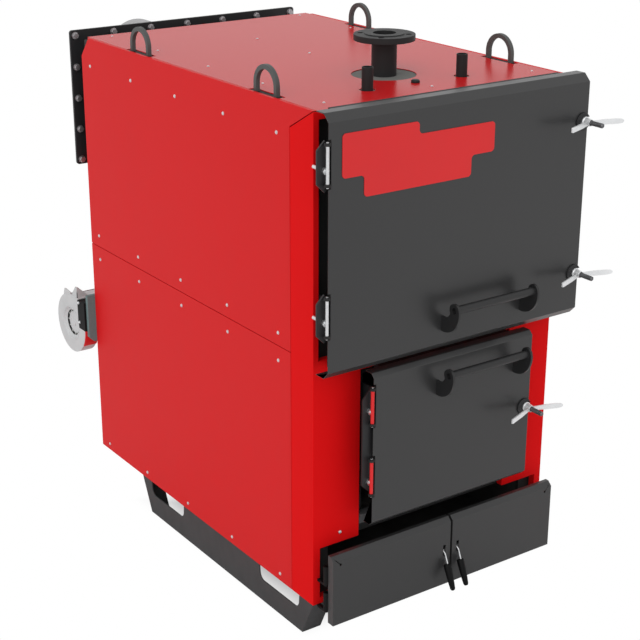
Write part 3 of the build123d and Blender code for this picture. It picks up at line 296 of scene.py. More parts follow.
def shaded(colour: Colour, share: float) -> Colour:
    """A colour made darker or lighter by a share of itself."""
    return tuple(min(1.0, part * share) for part in colour)


# Finishes

@dataclass(frozen=True)
class Surface:
    """A surface whose material is built from its colour and a few measures."""

    name: str
    colour: Colour

    def inputs(self, recipe: Recipe) -> Dict[str, object]:
        """The shader's inputs; each kind of surface has its own."""
        raise NotImplementedError

    def tone(self, recipe: Recipe, factor: Level, low: float, high: float) -> Signal:
        """The colour, drifting between two shares of itself."""
        return recipe.tint(factor, shaded(self.colour, low), shaded(self.colour, high))

    def material(self) -> bpy.types.Material:
        """Builds the material, unless an earlier piece has it.

        Returns:
            The surface's material.
        """
        known = bpy.data.materials.get(self.name)
        if known is None:
            recipe = Recipe(self.name)
            known = recipe.shade(self.inputs(recipe))
        return known


@dataclass(frozen=True)
class PowderCoat(Surface):
    """Baked powder paint with its orange peel, slow drift of tone and faint handling marks."""

    roughness: float
    sheen_level: float = 0.5
    peel_size: float = 2.2
    peel_depth: float = 0.02
    drift: float = 0.05
    marks: float = 0.08
    speck: float = 0.0

    def inputs(self, recipe: Recipe) -> Dict[str, object]:
        """Adds the surface's patterns.

        Args:
            recipe: The material's tree.

        Returns:
            The shader's inputs.
        """
        drift = recipe.noise(320.0, 3.0)
        colour = self.tone(recipe, drift, 1 - self.drift, 1 + self.drift)
        marks = recipe.ramp(recipe.noise(46.0, 6.0, (1.0, 1.0, 1.6)), [(0.42, 0.0), (0.78, 1.0)])
        colour = recipe.tint(marks * self.marks * 0.5, colour, shaded(self.colour, 1.6))
        if self.speck:
            grain = recipe.ramp(recipe.noise(1.6, 2.0), [(0.35, 0.0), (0.68, 1.0)])
            colour = recipe.tint(grain * self.speck, colour, shaded(self.colour, 1.8))
        peel = recipe.noise(self.peel_size, 3.0)
        return {
            "Base Color": colour,
            "Roughness": marks * self.marks + self.roughness,
            "Specular IOR Level": self.sheen_level,
            "Normal": recipe.relief(peel, self.peel_depth),
        }


@dataclass(frozen=True)
class PlatedSteel(Surface):
    """Zinc-plated steel with drawn streaks and small dull patches."""

    roughness: float

    def inputs(self, recipe: Recipe) -> Dict[str, object]:
        """Adds the surface's patterns.

        Args:
            recipe: The material's tree.

        Returns:
            The shader's inputs.
        """
        patches = recipe.ramp(recipe.noise(9.0, 4.0), [(0.35, 0.0), (0.72, 1.0)])
        streaks = recipe.noise(0.8, 2.0)
        colour = recipe.tint(patches, self.colour, shaded(self.colour, 0.82))
        return {
            "Base Color": colour,
            "Metallic": 1.0,
            "Roughness": patches * 0.14 + streaks * 0.08 + self.roughness,
            "Normal": recipe.relief(streaks, 0.01),
        }


@dataclass(frozen=True)
class CastMetal(Surface):
    """Cast surface with a fine sandy grain and soft pits."""

    metallic: float
    roughness: float
    grain: float = 1.4
    grain_depth: float = 0.06
    pit_depth: float = 0.12

    def inputs(self, recipe: Recipe) -> Dict[str, object]:
        """Adds the surface's patterns.

        Args:
            recipe: The material's tree.

        Returns:
            The shader's inputs.
        """
        sand = recipe.noise(self.grain, 4.0)
        pits = recipe.ramp(recipe.cells(6.0), [(0.0, 0.0), (0.22, 1.0)])
        clouds = recipe.noise(60.0, 4.0)
        colour = self.tone(recipe, clouds, 0.86, 1.1)
        height = sand * self.grain_depth + pits * self.pit_depth
        return {
            "Base Color": colour,
            "Metallic": self.metallic,
            "Roughness": sand * 0.18 + self.roughness,
            "Normal": recipe.relief(height, 1.0),
        }


@dataclass(frozen=True)
class RolledPlate(Surface):
    """Primed hot-rolled plate with rolling streaks, mill marks and soot where it is used."""

    soot: float = 0.0
    roughness: float = 0.62

    def inputs(self, recipe: Recipe) -> Dict[str, object]:
        """Adds the surface's patterns.

        Args:
            recipe: The material's tree.

        Returns:
            The shader's inputs.
        """
        streaks = recipe.noise(5.0, 3.0, (1.0, 30.0, 1.0))
        clouds = recipe.ramp(recipe.noise(90.0, 5.0), [(0.3, 0.0), (0.7, 1.0)])
        colour = self.tone(recipe, streaks, 0.85, 1.15)
        colour = recipe.tint(clouds * self.soot, colour, (0.012, 0.011, 0.010))
        return {
            "Base Color": colour,
            "Roughness": clouds * 0.15 + self.roughness,
            "Specular IOR Level": 0.35,
            "Normal": recipe.relief(recipe.noise(1.8, 4.0), 0.04),
        }


@dataclass(frozen=True)
class MineralFibre(Surface):
    """Pressed mineral fibre: crossing fibres, soft tufts and a pale uneven tone."""

    def inputs(self, recipe: Recipe) -> Dict[str, object]:
        """Adds the surface's patterns.

        Args:
            recipe: The material's tree.

        Returns:
            The shader's inputs.
        """
        long = recipe.noise(1.2, 3.0, (9.0, 1.0, 1.0))
        cross = recipe.noise(1.2, 3.0, (1.0, 1.0, 9.0))
        tufts = recipe.noise(14.0, 4.0)
        fibres = long * 0.5 + cross * 0.5
        colour = self.tone(recipe, fibres, 0.72, 1.15)
        return {
            "Base Color": colour,
            "Roughness": 0.95,
            "Specular IOR Level": 0.1,
            "Normal": recipe.relief(fibres * 0.4 + tufts, 0.9),
        }


@dataclass(frozen=True)
class WeldMetal(Surface):
    """Weld bead: dull metal with scale-like ripples and blue-brown heat tints."""

    def inputs(self, recipe: Recipe) -> Dict[str, object]:
        """Adds the surface's patterns.

        Args:
            recipe: The material's tree.

        Returns:
            The shader's inputs.
        """
        heat = recipe.noise(12.0, 2.0)
        grain = recipe.noise(1.0, 3.0)
        return {
            "Base Color": recipe.tint(heat, self.colour, shaded(self.colour, 1.7)),
            "Metallic": 0.5,
            "Roughness": grain * 0.2 + 0.4,
            "Normal": recipe.relief(grain, 0.08),
        }


class Finish(Enum):
    """The finishes of this boiler."""

    SIDE_RED = PowderCoat("side_red_powder", (0.60, 0.011, 0.013), 0.42, 0.07, drift=0.015, marks=0.04)
    # Front frame: a lower-gloss red of its own, whose base is also made lighter as painted light against the
    # shade on the front faces
    FRONT_RED_PAINTED_LIGHT = PowderCoat("front_red_powder_painted_light", (0.66, 0.0050, 0.0060), 0.55, 0.03, drift=0.015, marks=0.04)
    # Top sheet: the casing's red base made darker as painted shade, to offset the stronger light on the top;
    # its gloss and peel are its own
    TOP_RED_PAINTED_SHADE = PowderCoat("top_red_powder_painted_shade", (0.50, 0.009, 0.011), 0.27, 0.10, 1.2, 0.006, 0.01, 0.0)
    PLATE_RED = PowderCoat("plate_red_powder", (0.62, 0.012, 0.014), 0.45, 0.35)
    DOOR_GREY = PowderCoat(
        "door_grey_powder", (0.024, 0.024, 0.0245), 0.34, 0.45, 1.4, 0.03, 0.02, 0.04, 0.15
    )
    SKID_GREY = PowderCoat("skid_grey_powder", (0.032, 0.032, 0.033), 0.50, 0.3, 1.4, 0.05, 0.05, 0.10, 0.25)
    BLACK = PowderCoat("black_heat_proof_coat", (0.012, 0.012, 0.013), 0.48, 0.35, 1.2, 0.05, 0.05, 0.12, 0.2)
    DEEP_BLACK = PowderCoat("deep_black_coat", (0.004, 0.004, 0.0042), 0.60, 0.15, 1.4, 0.04, 0.03, 0.04)
    PIPE_BLACK = PowderCoat("black_pipe_paint", (0.014, 0.014, 0.0145), 0.52, 0.25, 1.3, 0.05, 0.04, 0.06)
    FORGED_GREY = CastMetal("forged_steel_eye", (0.062, 0.066, 0.064), 0.0, 0.50)
    HANDLE_BLACK = PowderCoat(
        "handle_black_powder", (0.012, 0.012, 0.0125), 0.42, 0.4, 1.4, 0.04, 0.03, 0.06, 0.15
    )
    ZINC = PlatedSteel("bright_zinc_plate", (0.74, 0.75, 0.76), 0.26)
    DARK_ZINC = PlatedSteel("dark_threaded_steel", (0.16, 0.16, 0.165), 0.36)
    DULL_ZINC = PlatedSteel("dull_zinc_plate", (0.42, 0.40, 0.41), 0.40)
    PLATE = RolledPlate("primed_boiler_plate", (0.16, 0.16, 0.165))
    DARK_PLATE = RolledPlate("dark_boiler_plate", (0.055, 0.055, 0.057))
    BLACK_PLATE = RolledPlate("black_boiler_plate", (0.010, 0.010, 0.0105), 0.5)
    SOOTY_PLATE = RolledPlate("sooty_boiler_plate", (0.035, 0.034, 0.033), 0.8)
    GRATE_IRON = CastMetal("cast_grate_iron", (0.070, 0.062, 0.056), 0.0, 0.70, 2.2, 0.12, 0.25)
    CAST_ALLOY = CastMetal("die_cast_alloy", (0.53, 0.535, 0.54), 0.12, 0.50, 1.0, 0.03, 0.05)
    WHEEL_SHEET = CastMetal("pressed_wheel_sheet", (0.62, 0.62, 0.60), 0.1, 0.55, 1.0, 0.02, 0.0)
    DUCT_SHEET = RolledPlate("grey_duct_sheet", (0.120, 0.175, 0.175))
    SPIGOT = RolledPlate("pale_spigot_sheet", (0.36, 0.36, 0.365), 0.0, 0.5)
    CAST_ZINC = CastMetal("cast_zinc_wing", (0.78, 0.79, 0.80), 0.6, 0.34, 1.0, 0.02, 0.03)
    FIBRE = MineralFibre("pressed_mineral_fibre", (0.66, 0.64, 0.58))
    BLANKET = MineralFibre("grey_fibre_blanket", (0.19, 0.19, 0.18))
    ROPE = MineralFibre("sealing_rope", (0.42, 0.41, 0.38))
    WELD = WeldMetal("weld_bead_metal", (0.030, 0.029, 0.028))
    GASKET_RED = PowderCoat("dark_red_gasket", (0.11, 0.010, 0.016), 0.6, 0.2)
    GRIP = PowderCoat("black_grip_plastic", (0.0022, 0.0022, 0.0024), 0.45, 0.12, 0.9, 0.03, 0.02, 0.02)

    def material(self) -> bpy.types.Material:
        """The finish's material, made once."""
        return self.value.material()


# Pieces

def settled(holder: bpy.types.Object) -> None:
    """Turns the result of an object's modifiers into its own plain mesh.

    Args:
        holder: The object, already linked to the scene.
    """
    graph = bpy.context.evaluated_depsgraph_get()
    mesh = bpy.data.meshes.new_from_object(holder.evaluated_get(graph))
    holder.modifiers.clear()
    before = holder.data
    holder.data = mesh
    bpy.data.meshes.remove(before)


def linked(data: bpy.types.ID, name: str) -> bpy.types.Object:
    """Puts a mesh, a camera or a lamp into the scene.

    Args:
        data: The mesh, camera or lamp.
        name: Name of the object.

    Returns:
        The object.
    """
    holder = bpy.data.objects.new(name, data)
    bpy.context.scene.collection.objects.link(holder)
    return holder


def dressed(
    holder: bpy.types.Object,
    finish: Finish,
    body: str,
    replaces: Sequence[str] = (),
) -> None:
    """Gives a finished mesh its material, body and the nodes that it stands for.

    Args:
        holder: The object with its plain mesh.
        finish: Its finish.
        body: The CAD body that it rides on.
        replaces: CAD nodes that it replaces.
    """
    holder.data.materials.clear()
    holder.data.materials.append(finish.material())
    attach(holder, body)
    if replaces:
        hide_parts(*replaces)
    REPORT.info("%s: %d faces on %s", holder.name, len(holder.data.polygons), body)


def bevelled(holder: bpy.types.Object, width: float, segments: int) -> None:
    """Rounds an object's edges, or keeps them sharp, and smooths all else.

    Args:
        holder: The object.
        width: Width of the rounded edge in millimetres.
        segments: Steps across it.
    """
    holder.data.shade_smooth()
    if width > 0:
        bevel = holder.modifiers.new("Edges", "BEVEL")
        bevel.width = width * MM
        bevel.segments = segments
        bevel.limit_method = "ANGLE"
        bevel.angle_limit = EDGE_ANGLE
        weighted = holder.modifiers.new("Flat faces", "WEIGHTED_NORMAL")
        weighted.mode = "FACE_AREA"
        weighted.weight = 100
        settled(holder)
    else:
        holder.data.set_sharp_from_angle(angle=EDGE_ANGLE)


def softened(node: str, finish: Finish, width: float, segments: int = 2) -> None:
    """Copy of a CAD node with rounded edges that replaces it.

    Args:
        node: The CAD node.
        finish: The copy's finish.
        width: Width of the rounded edges in millimetres.
        segments: Steps across an edge.
    """
    work = bmesh.new()
    work.from_mesh(frame["nodes"][node].data)
    bmesh.ops.remove_doubles(work, verts=work.verts, dist=SAME_PLACE)
    bmesh.ops.dissolve_limit(work, angle_limit=FLAT_ANGLE, verts=work.verts, edges=work.edges)
    name = f"{node}_dressed"
    mesh = bpy.data.meshes.new(name)
    work.to_mesh(mesh)
    work.free()
    holder = linked(mesh, name)
    bevelled(holder, width, segments)
    body = next(key for key, names in frame["record"]["behaviour"]["bodies"].items() if node in names)
    dressed(holder, finish, body, [node])


def repainted(finish: Finish, *nodes: str) -> None:
    """Gives CAD nodes that stay as they are their finish.

    Args:
        finish: The finish.
        nodes: Names of the nodes.
    """
    for node in nodes:
        holder = frame["nodes"][node]
        if not holder.material_slots:
            holder.data.materials.append(None)
        for place in holder.material_slots:
            place.material = finish.material()
        REPORT.info("%s: %s", node, finish.value.name)


class Shape:
    """Closed shells collected in one mesh, in casing millimetres."""

    def __init__(self) -> None:
        """Starts empty."""
        self.mesh = bmesh.new()

    def _moved(self, points: Sequence[Point], turn: Optional[Matrix]) -> List[bmesh.types.BMVert]:
        """Adds vertices.

        Args:
            points: Their places.
            turn: Placement that is applied to them first, if any.

        Returns:
            The vertices.
        """
        places = [Vector(point) for point in points]
        if turn is not None:
            places = [turn @ place for place in places]
        return [self.mesh.verts.new(place) for place in places]

    @staticmethod
    def _spot(axis: int, along: float, first: float, second: float) -> Point:
        """Sets a point by its place along an axis and across it.

        Args:
            axis: Number of the axis.
            along: Place along the axis.
            first: Lower-numbered coordinate across it.
            second: Higher-numbered coordinate across it.

        Returns:
            The point.
        """
        spot = [0.0, 0.0, 0.0]
        others = [number for number in range(3) if number != axis]
        spot[axis], spot[others[0]], spot[others[1]] = along, first, second
        return tuple(spot)

    def prism(
        self,
        outline: Sequence[Tuple[float, float]],
        low: float,
        high: float,
        way: Way,
        turn: Optional[Matrix] = None,
    ) -> "Shape":
        """Adds a prism.

        Args:
            outline: Points across the axis, the lower-numbered coordinate first.
            low: Start along the axis.
            high: End along the axis.
            way: The axis.
            turn: Placement of the prism.

        Returns:
            This shape.
        """
        axis = way.index()
        rows = []
        for along in (low, high):
            points = [self._spot(axis, along, *pair) for pair in outline]
            rows.append(self._moved(points, turn))
        return self._shell(rows, len(outline))

    def block(self, low: Point, high: Point, turn: Optional[Matrix] = None) -> "Shape":
        """Adds a block between two corners."""
        outline = [(low[0], low[1]), (high[0], low[1]), (high[0], high[1]), (low[0], high[1])]
        return self.prism(outline, low[2], high[2], Way.UP, turn)

    def turned(
        self,
        profile: Sequence[Tuple[float, float]],
        centre: Tuple[float, float],
        way: Way,
        steps: int = 48,
        ring: bool = False,
        turn: Optional[Matrix] = None,
    ) -> "Shape":
        """Adds a turned body.

        Args:
            profile: Pairs of place along the axis and radius.
            centre: The axis' place across it.
            way: The axis.
            steps: Corners round it.
            ring: Whether the profile closes on itself round a hole.
            turn: Placement of the body.

        Returns:
            This shape.
        """
        axis = way.index()
        rows = []
        for along, radius in profile:
            angles = [2 * math.pi * step / steps for step in range(steps if radius > 0 else 1)]
            spots = [
                (centre[0] + radius * math.cos(angle), centre[1] + radius * math.sin(angle))
                for angle in angles
            ]
            points = [self._spot(axis, along, *spot) for spot in spots]
            rows.append(self._moved(points, turn))
        return self._shell(rows, steps, ring)

    def rod(
        self,
        low: float,
        high: float,
        radius: float,
        centre: Tuple[float, float],
        way: Way,
        steps: int,
    ) -> "Shape":
        """Adds a plain round rod."""
        profile = [(low, 0.0), (low, radius), (high, radius), (high, 0.0)]
        return self.turned(profile, centre, way, steps)

    def _shell(self, rows: List[List[bmesh.types.BMVert]], steps: int, ring: bool = False) -> "Shape":
        """Joins rows of vertices to a closed shell.

        Args:
            rows: The rows; one with a single vertex is a pole.
            steps: Corners round the axis.
            ring: Whether the last row joins the first, with no ends to close.

        Returns:
            This shape.
        """
        for before, after in zip(rows, rows[1:] + rows[:1] if ring else rows[1:]):
            for step in range(steps):
                near = (step + 1) % steps
                one = before[step % len(before)], before[near % len(before)]
                two = after[step % len(after)], after[near % len(after)]
                corners = list(dict.fromkeys([one[0], one[1], two[1], two[0]]))
                if len(corners) > 2:
                    self.mesh.faces.new(corners)
        for row in () if ring else (rows[0], rows[-1]):
            if len(row) > 1:
                self.mesh.faces.new(row)
        return self

    def piece(
        self,
        name: str,
        finish: Finish,
        body: str,
        slot: str,
        bevel: float = 0.0,
        segments: int = 2,
        replaces: Sequence[str] = (),
    ) -> None:
        """Moves the shape to the row frame and finishes it as a piece.

        Args:
            name: The piece's name.
            finish: Its finish.
            body: The body that it rides on.
            slot: Not used.
            bevel: Width of its rounded edges in millimetres.
            segments: Steps across them.
            replaces: CAD nodes that it replaces.
        """
        bmesh.ops.recalc_face_normals(self.mesh, faces=self.mesh.faces)
        for vertex in self.mesh.verts:
            vertex.co = DATUM.at(*vertex.co)
        mesh = bpy.data.meshes.new(name)
        self.mesh.to_mesh(mesh)
        self.mesh.free()
        holder = linked(mesh, name)
        bevelled(holder, bevel, segments)
        dressed(holder, finish, body, replaces)


# Geometry Nodes

class Growth(Sheet):
    """A geometry tree with named inputs, lengths in millimetres, that is run on a carrier mesh."""

    SIZES: Dict[str, str] = {}

    def __init__(self, name: str) -> None:
        """Makes the tree with its inputs and fills it.

        Args:
            name: Name of the tree.
        """
        super().__init__(bpy.data.node_groups.new(name, "GeometryNodeTree"))
        kinds = {"Carrier": "Geometry", **self.SIZES, "Finish": "Material"}
        for label, kind in kinds.items():
            kind = "Float" if kind == "Length" else kind
            self.tree.interface.new_socket(label, in_out="INPUT", socket_type=f"NodeSocket{kind}")
        self.tree.interface.new_socket("Piece", in_out="OUTPUT", socket_type="NodeSocketGeometry")
        self.start = self.tree.nodes.new("NodeGroupInput")
        grown = self.grow()
        whole = self.add("GeometryNodeRealizeInstances", {"Geometry": grown})
        inputs = {"Geometry": whole, "Material": self.size("Finish")}
        painted = self.add("GeometryNodeSetMaterial", inputs)
        self.add("NodeGroupOutput", {"Piece": painted})

    def size(self, label: str) -> Signal:
        """A named input of the tree."""
        return Signal(self, self.start.outputs[label])

    def grow(self) -> Signal:
        """Adds the nodes that make the geometry; each kind has its own."""
        raise NotImplementedError

    def drum(
        self,
        sides: Level,
        radius: Level,
        depth: Level,
        start: Level = 0.0,
        taper: Optional[Level] = None,
    ) -> Signal:
        """Adds a drum round Z.

        Args:
            sides: Corners round it.
            radius: Its radius.
            depth: Its height.
            start: Where it starts along Z.
            taper: Share of the radius that its far end has, or none for a plain drum.

        Returns:
            The drum.
        """
        inputs = {"Vertices": sides, "Depth": depth}
        if taper is None:
            inputs["Radius"] = radius
            drum, low = self.add("GeometryNodeMeshCylinder", inputs), depth * 0.5 + start
        else:
            inputs.update({"Radius Top": radius * taper, "Radius Bottom": radius})
            drum, low = self.add("GeometryNodeMeshCone", inputs), start
        shift = self.add("ShaderNodeCombineXYZ", {2: low})
        return self.add("GeometryNodeTransform", {"Geometry": drum, "Translation": shift})

    def tube(self, line: Signal, radius: Level, sides: Level) -> Signal:
        """Adds a round tube along a line.

        Args:
            line: The line.
            radius: Radius of the tube.
            sides: Corners round it.

        Returns:
            The tube.
        """
        inputs = {"Resolution": sides, "Radius": radius}
        profile = self.add("GeometryNodeCurvePrimitiveCircle", inputs, mode="RADIUS")
        inputs = {"Curve": line, "Profile Curve": profile, "Fill Caps": True}
        return self.add("GeometryNodeCurveToMesh", inputs)

    def joined(self, *parts: Signal) -> Signal:
        """Several geometries as one."""
        return self.add("GeometryNodeJoinGeometry", {"Geometry": list(parts)})

    def planted(self, part: Signal) -> Signal:
        """One copy of a part on each point of the carrier, turned to the facing."""
        inputs = {"Points": self.size("Carrier"), "Instance": part, "Rotation": self.size("Facing")}
        return self.add("GeometryNodeInstanceOnPoints", inputs)

    def run(
        self,
        name: str,
        carrier: Sequence[Point],
        sizes: Dict[str, object],
        finish: Finish,
        body: str,
        slot: str,
        closed: bool = False,
    ) -> None:
        """Runs the tree, keeps the result as a plain mesh and dresses it.

        Args:
            name: Name of the object.
            carrier: Points in casing millimetres.
            sizes: Values of the named inputs; lengths are in millimetres.
            finish: Material of the result.
            body: The CAD body that it rides on.
            slot: Not used.
            closed: Whether the points form a closed line or stand alone.
        """
        mesh = bpy.data.meshes.new(name)
        count = len(carrier)
        edges = [(number, (number + 1) % count) for number in range(count)] if closed else []
        mesh.from_pydata([DATUM.at(*point) for point in carrier], edges, [])
        holder = linked(mesh, name)
        modifier = holder.modifiers.new(name, "NODES")
        modifier.node_group = self.tree
        values = {**sizes, "Finish": finish.material()}
        for item in self.tree.interface.items_tree:
            if item.in_out == "INPUT" and item.name in values:
                value = values[item.name]
                if self.SIZES.get(item.name) == "Length":
                    value *= MM
                modifier[item.identifier] = value
        settled(holder)
        dressed(holder, finish, body)


class HeadGrowth(Growth):
    """Heads of screws and bolts: a washer, a head with the given corners and its chamfer."""

    SIZES = {
        "Facing": "Vector",
        "Corners": "Int",
        "Head radius": "Length",
        "Head height": "Length",
        "Crown share": "Float",
        "Washer radius": "Length",
        "Washer height": "Length",
    }

    def grow(self) -> Signal:
        """Adds the washer, the head's trunk and its crown on each point."""
        corners, radius = self.size("Corners"), self.size("Head radius")
        low, height = self.size("Washer height"), self.size("Head height")
        trunk = height * 0.6
        return self.planted(self.joined(
            self.drum(20, self.size("Washer radius"), low),
            self.drum(corners, radius, trunk, low),
            self.drum(corners, radius, height * 0.4, low + trunk, self.size("Crown share")),
        ))


class ThreadGrowth(Growth):
    """A threaded rod that starts on each point and follows the facing."""

    SIZES = {
        "Facing": "Vector",
        "Radius": "Length",
        "Length": "Length",
        "Turns": "Float",
        "Ridge": "Length",
    }

    def grow(self) -> Signal:
        """Adds the core, the ridge that winds round it and the chamfered end."""
        radius, length, ridge = self.size("Radius"), self.size("Length"), self.size("Ridge")
        core = radius - ridge
        inputs = {
            "Resolution": 20,
            "Rotations": self.size("Turns"),
            "Start Radius": core,
            "End Radius": core,
            "Height": length,
        }
        path = self.add("GeometryNodeCurveSpiral", inputs)
        return self.planted(self.joined(
            self.drum(24, core, length),
            self.tube(path, ridge, 4),
            self.drum(24, core, radius * STUD_END, length, 0.7),
        ))


class BeadGrowth(Growth):
    """A rippled bead along a line, for welds and sealing ropes."""

    SIZES = {"Radius": "Length", "Step": "Length", "Ripple": "Float", "Sides": "Int"}

    def grow(self) -> Signal:
        """Adds a tube along the carrier whose radius swells at every step."""
        line = self.add("GeometryNodeMeshToCurve", {"Mesh": self.size("Carrier")})
        inputs = {"Curve": line, "Length": self.size("Step") * 0.25}
        line = self.add("GeometryNodeResampleCurve", inputs, mode="LENGTH")
        number = self.add("GeometryNodeInputIndex")
        wave = number.math("SINE", number * (math.pi / 2))
        inputs = {"Curve": line, "Radius": wave * self.size("Ripple") + 1.0}
        line = self.add("GeometryNodeSetCurveRadius", inputs)
        tube = self.tube(line, self.size("Radius"), self.size("Sides"))
        return self.add("GeometryNodeSetShadeSmooth", {"Geometry": tube})


class VaneGrowth(Growth):
    """Flat vanes set round an axis."""

    SIZES = {
        "Facing": "Vector",
        "Count": "Int",
        "Middle radius": "Length",
        "Vane reach": "Length",
        "Vane thickness": "Length",
        "Vane length": "Length",
    }

    def grow(self) -> Signal:
        """Adds one box per vane round Z and plants the wheel on each point."""
        labels = ("Vane reach", "Vane thickness", "Vane length")
        inputs = {number: self.size(label) for number, label in enumerate(labels)}
        size = self.add("ShaderNodeCombineXYZ", inputs)
        vane = self.add("GeometryNodeMeshCube", {"Size": size})
        inputs = {"Vertices": self.size("Count"), "Radius": self.size("Middle radius")}
        seats = self.add("GeometryNodeMeshCircle", inputs)
        step = (2 * math.pi) / self.size("Count")
        turn = self.add("ShaderNodeCombineXYZ", {2: self.add("GeometryNodeInputIndex") * step})
        inputs = {"Points": seats, "Instance": vane, "Rotation": turn}
        return self.planted(self.add("GeometryNodeInstanceOnPoints", inputs))


# Fasteners

HEADS = HeadGrowth("fastener_heads")
BEADS = BeadGrowth("rippled_beads")
THREADS = ThreadGrowth("threaded_rods")
VANES = VaneGrowth("vanes_round_axis")


@dataclass(frozen=True)
class Fastener:
    """Head of a screw, bolt or nut on its washer, in millimetres."""

    corners: int
    radius: float
    height: float
    crown: float
    washer_radius: float
    washer_height: float
    finish: Finish = Finish.ZINC

    def fit(self, name: str, way: Way, points: Sequence[Point]) -> None:
        """Puts one on each of some places of the casing.

        Args:
            name: Name of the piece.
            way: The side that the heads face.
            points: The places in casing millimetres.
        """
        sizes = {
            "Facing": way.turn(),
            "Corners": self.corners,
            "Head radius": self.radius,
            "Head height": self.height,
            "Crown share": self.crown,
            "Washer radius": self.washer_radius,
            "Washer height": self.washer_height,
        }
        HEADS.run(name, points, sizes, self.finish, "casing", "zinc")


PANEL_SCREW = Fastener(14, 4.6, 3.0, 0.5, 5.75, 0.6)
TOP_SCREW = Fastener(14, 3.68, 2.4, 0.5, 4.6, 0.6)
FLANGE_BOLT = Fastener(6, 11.5, 9.0, 0.86, 12.5, 2.0, Finish.DULL_ZINC)
BLOWER_SCREW = Fastener(6, 4.6, 3.6, 0.85, 5.6, 1.0)


# Studio

@dataclass
class Studio:
    """Camera at the photograph's angle, pale floor and soft light."""

    lens: float = 83.507
    sensor: float = 36.0
    eye: Point = (-2693.81, -3217.41, 2421.88)
    ahead: Point = (0.53684, 0.76512, -0.35553)
    right: Point = (0.81906, -0.57371, 0.00209)
    floor_reach: float = 60.0
    floor_level: float = 0.93
    floor_glow: float = 1.0
    world_level: float = 0.78
    key_level: float = 1.0
    key_spread: float = 50.0
    key_toward: Point = (0.59, 0.46, -0.55)
    footing: Tuple[Point, Point] = ((-440.0, 60.0, 0.0), (440.0, 1110.0, 0.0))
    shadow_start: float = -230.0
    shadow_end: float = 50.0

    def build(self) -> None:
        """Makes the camera, the floor, the world and the lamps."""
        self._camera()
        self._floor()
        self._world()
        self._lamps()
        bpy.context.scene.view_settings.view_transform = "Standard"

    def _camera(self) -> None:
        """Places the camera."""
        camera = bpy.data.cameras.new("camera")
        camera.lens = self.lens
        camera.sensor_width = self.sensor
        camera.sensor_fit = "HORIZONTAL"
        camera.clip_end = 200.0
        holder = linked(camera, "camera")
        back = -Vector(self.ahead).normalized()
        right = Vector(self.right).normalized()
        up = back.cross(right).normalized()
        right = up.cross(back)
        turn = Matrix((right, up, back)).transposed().to_4x4()
        holder.matrix_world = Matrix.Translation(DATUM.at(*self.eye)) @ turn
        bpy.context.scene.camera = holder

    def _floor(self) -> None:
        """Makes the pale floor: shaded under the casing, as white as the backdrop round it."""
        reach = self.floor_reach
        mesh = bpy.data.meshes.new("floor")
        corners = [(-reach, -reach, 0), (reach, -reach, 0), (reach, reach, 0), (-reach, reach, 0)]
        mesh.from_pydata(corners, [], [(0, 1, 2, 3)])
        holder = linked(mesh, "floor")
        recipe = Recipe("studio_floor")
        glow = recipe.add("ShaderNodeLightPath", output="Is Camera Ray") * self._outside(recipe)
        mesh.materials.append(recipe.shade({
            "Base Color": (1.0 - glow) * self.floor_level,
            "Emission Color": glow * self.floor_glow,
            "Emission Strength": 1.0,
            "Roughness": 0.9,
            "Specular IOR Level": 0.0,
        }))

    def _outside(self, recipe: "Recipe") -> "Signal":
        """Share of the white floor by its distance from the space between the skids.

        Args:
            recipe: The floor's material.

        Returns:
            Nothing deep between the skids, one well outside them.
        """
        low, high = (DATUM.at(*corner) for corner in self.footing)
        parts = recipe.add("ShaderNodeSeparateXYZ", {0: recipe.place}).socket.node.outputs
        gaps = []
        for axis in (0, 1):
            place = Signal(recipe, parts[axis])
            gaps.append(place.math("MAXIMUM", low[axis] - place, place - high[axis]))
        gap = gaps[0].math("MAXIMUM", *gaps)
        inputs = {0: gap, 1: self.shadow_start * MM, 2: self.shadow_end * MM}
        return recipe.add("ShaderNodeMapRange", inputs, interpolation_type="SMOOTHSTEP")

    def _world(self) -> None:
        """Makes a world that is white to look at and softer as a light."""
        world = bpy.data.worlds.new("studio")
        world.use_nodes = True
        sheet = Sheet(world.node_tree)
        sheet.tree.nodes.clear()
        seen = sheet.add("ShaderNodeLightPath", output="Is Camera Ray")
        paths = seen.socket.node.outputs
        seen = seen.math("MAXIMUM", seen, Signal(sheet, paths["Is Glossy Ray"]))
        seen = seen.math("MAXIMUM", seen, Signal(sheet, paths["Is Transmission Ray"]))
        strength = seen * (1.0 - self.world_level) + self.world_level
        inputs = {"Color": (1.0, 1.0, 1.0, 1.0), "Strength": strength}
        light = sheet.add("ShaderNodeBackground", inputs)
        sheet.add("ShaderNodeOutputWorld", {"Surface": light})
        bpy.context.scene.world = world

    def _lamps(self) -> None:
        """Makes the soft key lamp."""
        lamp = bpy.data.lights.new("key", "SUN")
        lamp.energy = self.key_level
        lamp.angle = math.radians(self.key_spread)
        toward = Vector(self.key_toward)
        linked(lamp, "key").rotation_euler = toward.to_track_quat("-Z", "Y").to_euler()


# Casing

